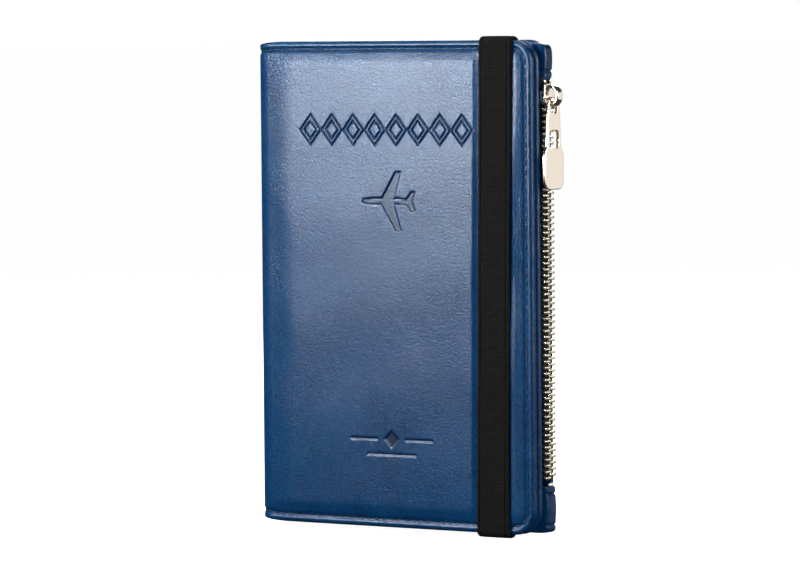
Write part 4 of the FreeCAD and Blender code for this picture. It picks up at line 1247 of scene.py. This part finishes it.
def stamped(name, outlines, low, high, rim, material, axes):
    """A metal plate: the first outline filled, the others cut out, its rims rounded by rim.

    The outlines lie in the plane of the first two axes and the plate spans low to high along
    the third; axes says which of the curve's x, y and z gives each of the row's x, y and z.
    """
    curve = bpy.data.curves.new(name, "CURVE")
    curve.dimensions = "2D"
    curve.fill_mode = "BOTH"
    curve.extrude = (high - low) / 2 - rim
    curve.bevel_depth = rim
    curve.bevel_resolution = 3
    curve.offset = -rim
    for index, shape in enumerate(outlines):
        area = np.sum(shape[:, 0] * np.roll(shape[:, 1], -1) - np.roll(shape[:, 0], -1) * shape[:, 1])
        wanted = 1 if index == 0 else -1
        ordered = shape if area * wanted > 0 else shape[::-1]
        line = curve.splines.new("POLY")
        line.points.add(len(ordered) - 1)
        line.points.foreach_set("co", np.column_stack([ordered, 0 * ordered[:, 0], 0 * ordered[:, 0] + 1])
                                .ravel())
        line.use_cyclic_u = True
    holder = bpy.data.objects.new(name, curve)
    mesh = holder.to_mesh()
    flat = np.empty(len(mesh.vertices) * 3)
    mesh.vertices.foreach_get("co", flat)
    flat = flat.reshape(-1, 3) + np.array([0, 0, (low + high) / 2])
    faces = [list(face.vertices) for face in mesh.polygons]
    holder.to_mesh_clear()
    bpy.data.objects.remove(holder)
    bpy.data.curves.remove(curve)
    return new_piece(name, flat[:, axes], [faces], material, smooth_angle=35)


YZ_PLATE = [2, 0, 1]
XZ_PLATE = [0, 2, 1]
slider_low, slider_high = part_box("slider_body")
bail_low, bail_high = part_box("slider_bail")
pull_low, pull_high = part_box("pull_tab")
BAIL_Z = (bail_low[2] + bail_high[2]) / 2


# %% [markdown]
# ## The slider
# A slider is two plates joined by a post, with the chain between them. Each plate is a mirrored
# outline, and a small rail along each side of the outer plate turns its edge inwards.

# %% The slider
def mirrored(half):
    """A whole outline from its right half, given from the top down, about CHAIN_Y."""
    right = np.array(half)
    left = right[::-1] * [-1, 1]
    whole = np.concatenate([right, left])
    return whole + [CHAIN_Y, 0]


half_wide = (slider_high[1] - slider_low[1]) / 2
top, foot = slider_high[2], slider_low[2]
PLATE = 0.8 * MM
shield = mirrored([*arc_points((half_wide - 1.6 * MM, top - 1.4 * MM), 1.4 * MM, 90, 20, 6),
                   (half_wide, top - 3.2 * MM), (half_wide - 0.1 * MM, top - 4.4 * MM),
                   (half_wide - 0.5 * MM, foot + 1.6 * MM),
                   *arc_points((half_wide - 1.7 * MM, foot + 1.0 * MM), 1.0 * MM, 0, -90, 6)])
outer_plate = stamped("slider_face", [shield], slider_high[0] - PLATE, slider_high[0], 0.28 * MM,
                      PALE_GOLD, YZ_PLATE)
inner_plate = stamped("slider_back", [(shield - [CHAIN_Y, 0]) * [0.62, 1] + [CHAIN_Y, 0]],
                      slider_low[0], slider_low[0] + PLATE, 0.25 * MM, PALE_GOLD, YZ_PLATE)
post = stamped("slider_post", [rounded_outline(CHAIN_Y - 0.4 * MM, CHAIN_Y + 0.4 * MM, foot + 4.4 * MM,
                                               top - 0.5 * MM, [0.35 * MM] * 4, 5)],
               slider_low[0] + 0.3 * MM, slider_high[0] - 0.3 * MM, 0.05 * MM, PALE_GOLD, YZ_PLATE)
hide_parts("slider_body")
for piece in (outer_plate, inner_plate, post):
    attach(piece, "slider")
for side in (-1, 1):
    edge = CHAIN_Y + side * half_wide
    inner_edge = edge - side * 0.45 * MM
    low_y, high_y = min(edge, inner_edge), max(edge, inner_edge)
    rail = stamped("slider_rail_" + ("front" if side < 0 else "back"),
                   [rounded_outline(low_y, high_y, foot + 2.0 * MM, top - 2.2 * MM, [0.2 * MM] * 4, 4)],
                   slider_high[0] - PLATE - 1.0 * MM, slider_high[0] - 0.25 * MM, 0.1 * MM,
                   PALE_GOLD, YZ_PLATE)
    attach(rail, "slider")
print("slider", round(2 * half_wide / MM, 1), "mm wide")

# %% [markdown]
# ## The loop
# The pull tab hangs on an oval loop on the slider. It is one oval cut out of another. The side
# towards the slider is pressed flat at its outer plate, to keep it out of the teeth.

# %% The loop
LOOP_WIDE, LOOP_TALL, LOOP_WALL = 2.9 * MM, 3.3 * MM, 1.0 * MM
LOOP_X = bail_high[0] - LOOP_WIDE - 0.15 * MM
bail_middle = (bail_low[1] + bail_high[1]) / 2
LOOP_HALF = 1.45 * MM
turn = np.radians(np.linspace(0, 360, 56, endpoint=False))
outside = np.stack([LOOP_X + LOOP_WIDE * np.cos(turn), BAIL_Z + LOOP_TALL * np.sin(turn)], 1)
inside = np.stack([LOOP_X + (LOOP_WIDE - LOOP_WALL) * np.cos(turn),
                   BAIL_Z + (LOOP_TALL - LOOP_WALL) * np.sin(turn)], 1)
outside[:, 0] = np.maximum(outside[:, 0], slider_high[0] - 0.6 * MM)
inside[:, 0] = np.maximum(inside[:, 0], slider_high[0] + 0.02 * MM)
bail = stamped("slider_loop", [outside, inside], bail_middle - LOOP_HALF, bail_middle + LOOP_HALF,
               0.35 * MM, PALE_GOLD, XZ_PLATE)
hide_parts("slider_bail")
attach(bail, "slider")

# %% [markdown]
# ## The pull tab
# The pull tab is a flat plate: a round eye, a neck with a window in it, and a wider paddle. It is
# the same on both sides, so only half of the outline is given and the rest is mirrored.

# %% The pull tab
EYE_RADIUS, EYE_HOLE = 3.0 * MM, 1.8 * MM
EYE = pull_high[2] - EYE_RADIUS
PADDLE_HALF = (pull_high[1] - pull_low[1]) / 2
PADDLE_HIGH = pull_low[2] + 11.4 * MM
NECK_HALF = 3.7 * MM
CUT = 2.6 * MM
tab_outline = mirrored([*arc_points((0, EYE), EYE_RADIUS, 88, 2, 14), (EYE_RADIUS, EYE - 0.6 * MM),
                        (NECK_HALF - 0.12 * MM, PADDLE_HIGH + 3.6 * MM),
                        (NECK_HALF, PADDLE_HIGH + 1.6 * MM),
                        (NECK_HALF + 0.15 * MM, PADDLE_HIGH + 0.7 * MM),
                        (NECK_HALF + 0.55 * MM, PADDLE_HIGH),
                        (PADDLE_HALF - 0.15 * MM, PADDLE_HIGH - 0.9 * MM),
                        (PADDLE_HALF, PADDLE_HIGH - 1.9 * MM),
                        *arc_points((PADDLE_HALF - CUT, pull_low[2] + CUT), CUT, 0, -88, 10)])
hole = arc_points((CHAIN_Y, EYE), EYE_HOLE, 0, 351, 40)
WINDOW_HALF = 2.2 * MM
window = rounded_outline(CHAIN_Y - WINDOW_HALF, CHAIN_Y + WINDOW_HALF, PADDLE_HIGH + 0.8 * MM,
                         PADDLE_HIGH + 5.8 * MM, [1.0 * MM] * 4, 6)
pull = stamped("pull_tab_metal", [tab_outline, hole, window], pull_low[0], pull_high[0], 0.3 * MM,
               PALE_GOLD, YZ_PLATE)
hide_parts("pull_tab")
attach(pull, "pull_tab")
print("pull tab", round(2 * PADDLE_HALF / MM, 1), "mm wide")

# %% [markdown]
# ## Stops
# A small clamp at each end of the teeth keeps the slider on the chain. Plain rounded blocks are
# enough at this size.

# %% The stops at the ends of the teeth
for node, body in (("zipper_top_stop_front", "back_half"), ("zipper_top_stop_back", "back_half"),
                   ("zipper_bottom_stop", "back_half")):
    low, high = (np.array(corner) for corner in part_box(node))
    if "top" in node:
        low[2], high[2] = low[2] - 0.3 * MM, high[2] - 0.75 * MM
    stop = stamped(node + "_metal", [rounded_outline(low[1], high[1], low[2], high[2], [0.3 * MM] * 4, 5)],
                   low[0], high[0], 0.25 * MM, TOOTH_GOLD, YZ_PLATE)
    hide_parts(node)
    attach(stop, body)

# %% [markdown]
# ## The elastic
# One black woven elastic lies across the front cover, goes over its head and foot edges and
# down behind them, where it is sewn into the turned edge of the middle panel. It is thick,
# with a selvedge along both sides, and turns the cover's edges in a small curve.

# %% One band round the front cover
ELASTIC_THICK = strap_high[1] - strap_low[1]
TAIL_THICK = 0.85 * MM
front_line = strap_low[1] + ELASTIC_THICK / 2
tail_line = head_wrap[1][1] - TAIL_THICK / 2
top_line, foot_line = head_wrap[1][2] - ELASTIC_THICK / 2, foot_wrap[0][2] + ELASTIC_THICK / 2
BEND = 1.6 * MM
DROP_DEPTH = 1.9 * MM
middle_line = front_line + BEND


def over_the_edge(line_z, tail_z, up):
    """The elastic's middle line at the head (up 1) or foot (up -1): front, over, and down to tail_z.

    The front bend is a quarter circle of radius BEND, the back one a quarter ellipse that
    reaches tail_line across and DROP_DEPTH down.
    """
    front = arc_points((middle_line, line_z - up * BEND), BEND, 180, 180 - 90 * up, 9)
    angle = np.radians(np.linspace(90, 0, 12)[1:])
    across = middle_line + (tail_line - middle_line) * np.cos(angle)
    down = line_z - up * DROP_DEPTH * (1 - np.sin(angle))
    tail = np.array([[tail_line, z] for z in np.linspace(down[-1], tail_z, 5)[1:]])
    return np.concatenate([front, np.stack([across, down], 1), tail])


head_part = over_the_edge(top_line, head_wrap[0][2] + 0.1 * MM, 1)
foot_part = over_the_edge(foot_line, foot_wrap[1][2] - 0.1 * MM, -1)
run_z = np.linspace(top_line - BEND, foot_line + BEND, 60)[1:-1]
run_part = np.stack([np.full(len(run_z), front_line), run_z], 1)
line = np.concatenate([head_part[::-1], run_part, foot_part])
tangent = np.gradient(line, axis=0)
normal = np.stack([tangent[:, 1], -tangent[:, 0]], 1) / np.hypot(tangent[:, 0], tangent[:, 1])[:, None]
profile_angle = np.linspace(0, 2 * math.pi, 128, endpoint=False)
wide, thick = squared(profile_angle, 9)
share = np.abs(wide)
SELVEDGE = 0.80
ridge = 1 - 0.55 * np.exp(-((share - SELVEDGE) / 0.035) ** 2)
loops = []
for (y, z), (ny, nz) in zip(line, normal):
    lean = STRAP_FOOT_X + STRAP_LEAN * (z - foot_line) / (top_line - foot_line)
    behind = smooth_step(np.array(y), middle_line, tail_line)
    lift = thick * ridge * (ELASTIC_THICK * (1 - behind) + TAIL_THICK * behind) / 2
    loops.append(np.stack([lean + wide * STRAP_WIDTH / 2, y + ny * lift, z + nz * lift], 1))
points, faces = tube(loops)
band = new_piece("elastic_band", points, faces, ELASTIC, smooth_angle=60)
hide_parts("elastic_front_run", "elastic_top_wrap", "elastic_bottom_wrap")
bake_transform(band)

# %% [markdown]
# ## What stays from the CAD model
# The boards and the foam are flat stiff sheets hidden in the covers. Their CAD shapes are
# right as they are, so they only get a material.

# %% Materials for the CAD parts
STAYING = {"front_cover_board": BOARD, "back_cover_board": BOARD, "card_panel_board": BOARD,
           "front_cover_foam": FOAM, "back_cover_foam": FOAM}
for node, finish in STAYING.items():
    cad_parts[node].data.materials.clear()
    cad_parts[node].data.materials.append(finish)
print(len(STAYING), "CAD parts keep their shape")

# %% [markdown]
# ## Floor, light and camera
# The wallet stands on a white floor in front of a white background, which only the camera sees
# at full strength. To everything else the surroundings are dim, so the lamps make the shine.

# %% Floor and world
floor_mesh = bpy.data.meshes.new("floor")
REACH = 60.0
floor_mesh.from_pydata([(-REACH, -REACH, 0), (REACH, -REACH, 0), (REACH, REACH, 0), (-REACH, REACH, 0)],
                       [], [(0, 1, 2, 3)])
floor = bpy.data.objects.new("floor", floor_mesh)
bpy.context.scene.collection.objects.link(floor)
floor_paint, tree, shader, _ = new_material("white_floor")
shader.inputs["Base Color"].default_value = (0.9, 0.9, 0.9, 1)
shader.inputs["Roughness"].default_value = 0.9
shader.inputs["Specular IOR Level"].default_value = 0.0
shader.inputs["Emission Color"].default_value = (1, 1, 1, 1)
shader.inputs["Emission Strength"].default_value = 0.95
floor_mesh.materials.append(floor_paint)
floor.visible_glossy = False
floor.visible_diffuse = False
floor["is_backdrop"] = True

world = bpy.data.worlds.new("studio")
world.use_nodes = True
sky = world.node_tree
soft_light = sky.nodes["Background"]
soft_light.inputs["Color"].default_value = (1, 1, 1, 1)
soft_light.inputs["Strength"].default_value = 0.04
seen = sky.nodes.new("ShaderNodeBackground")
seen.inputs["Strength"].default_value = 1.0
seen.inputs["Color"].default_value = (1, 1, 1, 1)
rays = sky.nodes.new("ShaderNodeLightPath")
either = sky.nodes.new("ShaderNodeMixShader")
sky.links.new(rays.outputs["Is Camera Ray"], either.inputs[0])
sky.links.new(soft_light.outputs[0], either.inputs[1])
sky.links.new(seen.outputs[0], either.inputs[2])
sky.links.new(either.outputs[0], sky.nodes["World Output"].inputs["Surface"])
bpy.context.scene.world = world
bpy.context.scene.view_settings.view_transform = "Standard"


# %% [markdown]
# ## Lamps
# With one lamp for everything, a good shine on waxed leather washes out its colour. So the shine,
# edge, roll and teeth lamps give only shine, and the upper left and fill lamps only colour. The
# metal lamp and the back lamp give both.

# %% Lamps
def soft_lamp(name, spot, target, size, power):
    """A square area lamp at spot, turned to target."""
    light = bpy.data.lights.new(name, "AREA")
    light.shape = "RECTANGLE"
    light.size, light.size_y = size
    light.energy = power
    lamp = bpy.data.objects.new(name, light)
    lamp.location = spot
    lamp.rotation_euler = (Vector(target) - Vector(spot)).to_track_quat("-Z", "Y").to_euler()
    bpy.context.scene.collection.objects.link(lamp)
    return lamp


shine_lamp = soft_lamp("shine_lamp", (-0.175, -0.30, 0.170), (0.0, 0.0, 0.125), (0.13, 0.10), 3.3)
shine_lamp.visible_diffuse = False
upper_left_lamp = soft_lamp("upper_left_lamp", (-0.30, -0.50, 0.50), (0.0, 0.0, 0.08), (0.30, 0.20), 2.3)
upper_left_lamp.visible_glossy = False
fill_lamp = soft_lamp("fill_lamp", (1.0, -0.80, 0.30), (0.0, 0.0, 0.07), (1.0, 0.8), 2.4)
fill_lamp.visible_glossy = False
edge_lamp = soft_lamp("edge_lamp", (0.45, -0.02, 0.22), (0.04, 0.0, 0.08), (0.04, 0.25), 3.0)
edge_lamp.visible_diffuse = False
roll_lamp = soft_lamp("roll_lamp", (-0.05, -0.22, 0.75), (0.0, 0.0, 0.14), (0.30, 0.10), 3.0)
roll_lamp.visible_diffuse = False
teeth_lamp = soft_lamp("teeth_lamp", (0.9, 0.10, 0.25), (0.05, 0.0, 0.08), (0.8, 0.8), 1.8)
teeth_lamp.visible_diffuse = False
soft_lamp("metal_lamp", (0.50, 0.66, 0.12), (0.05, 0.0, 0.08), (0.5, 0.5), 0.70)
soft_lamp("back_lamp", (-0.45, 0.75, 0.40), (0.0, 0.0, 0.08), (0.6, 0.5), 5.0)

# %% [markdown]
# ## Camera
# The wallet is seen from the right and from about as high as its head, with a long lens from one
# and a half metres, so that its edges stay nearly parallel.

# %% Camera
VIEW_AZIMUTH, VIEW_HEIGHT = math.radians(35.72), math.radians(2.81)
VIEW_DISTANCE = 1.56
FOCAL_LENGTH = 235.4
CAMERA_ROLL = math.radians(-0.5)
AIM = Vector((-3.3 * MM, 0.0, 73.0 * MM))
level = math.cos(VIEW_HEIGHT)
away = Vector((math.sin(VIEW_AZIMUTH) * level, -math.cos(VIEW_AZIMUTH) * level, math.sin(VIEW_HEIGHT)))
lens = bpy.data.cameras.new("camera")
lens.lens = FOCAL_LENGTH
lens.sensor_width = 36
lens.clip_end = 50
camera = bpy.data.objects.new("camera", lens)
camera.location = AIM + away * VIEW_DISTANCE
camera.rotation_euler = (-away).to_track_quat("-Z", "Y").to_euler()
camera.rotation_euler.rotate_axis("Z", CAMERA_ROLL)
bpy.context.scene.collection.objects.link(camera)
bpy.context.scene.camera = camera

# %% [markdown]
# ## This model's box is printed.
# The CAD model's box and this one's are written to a file, so that they can be compared.

# %% Print the visual box
low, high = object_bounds()
print("visual box", [round(x, 4) for x in (*low, *high)])
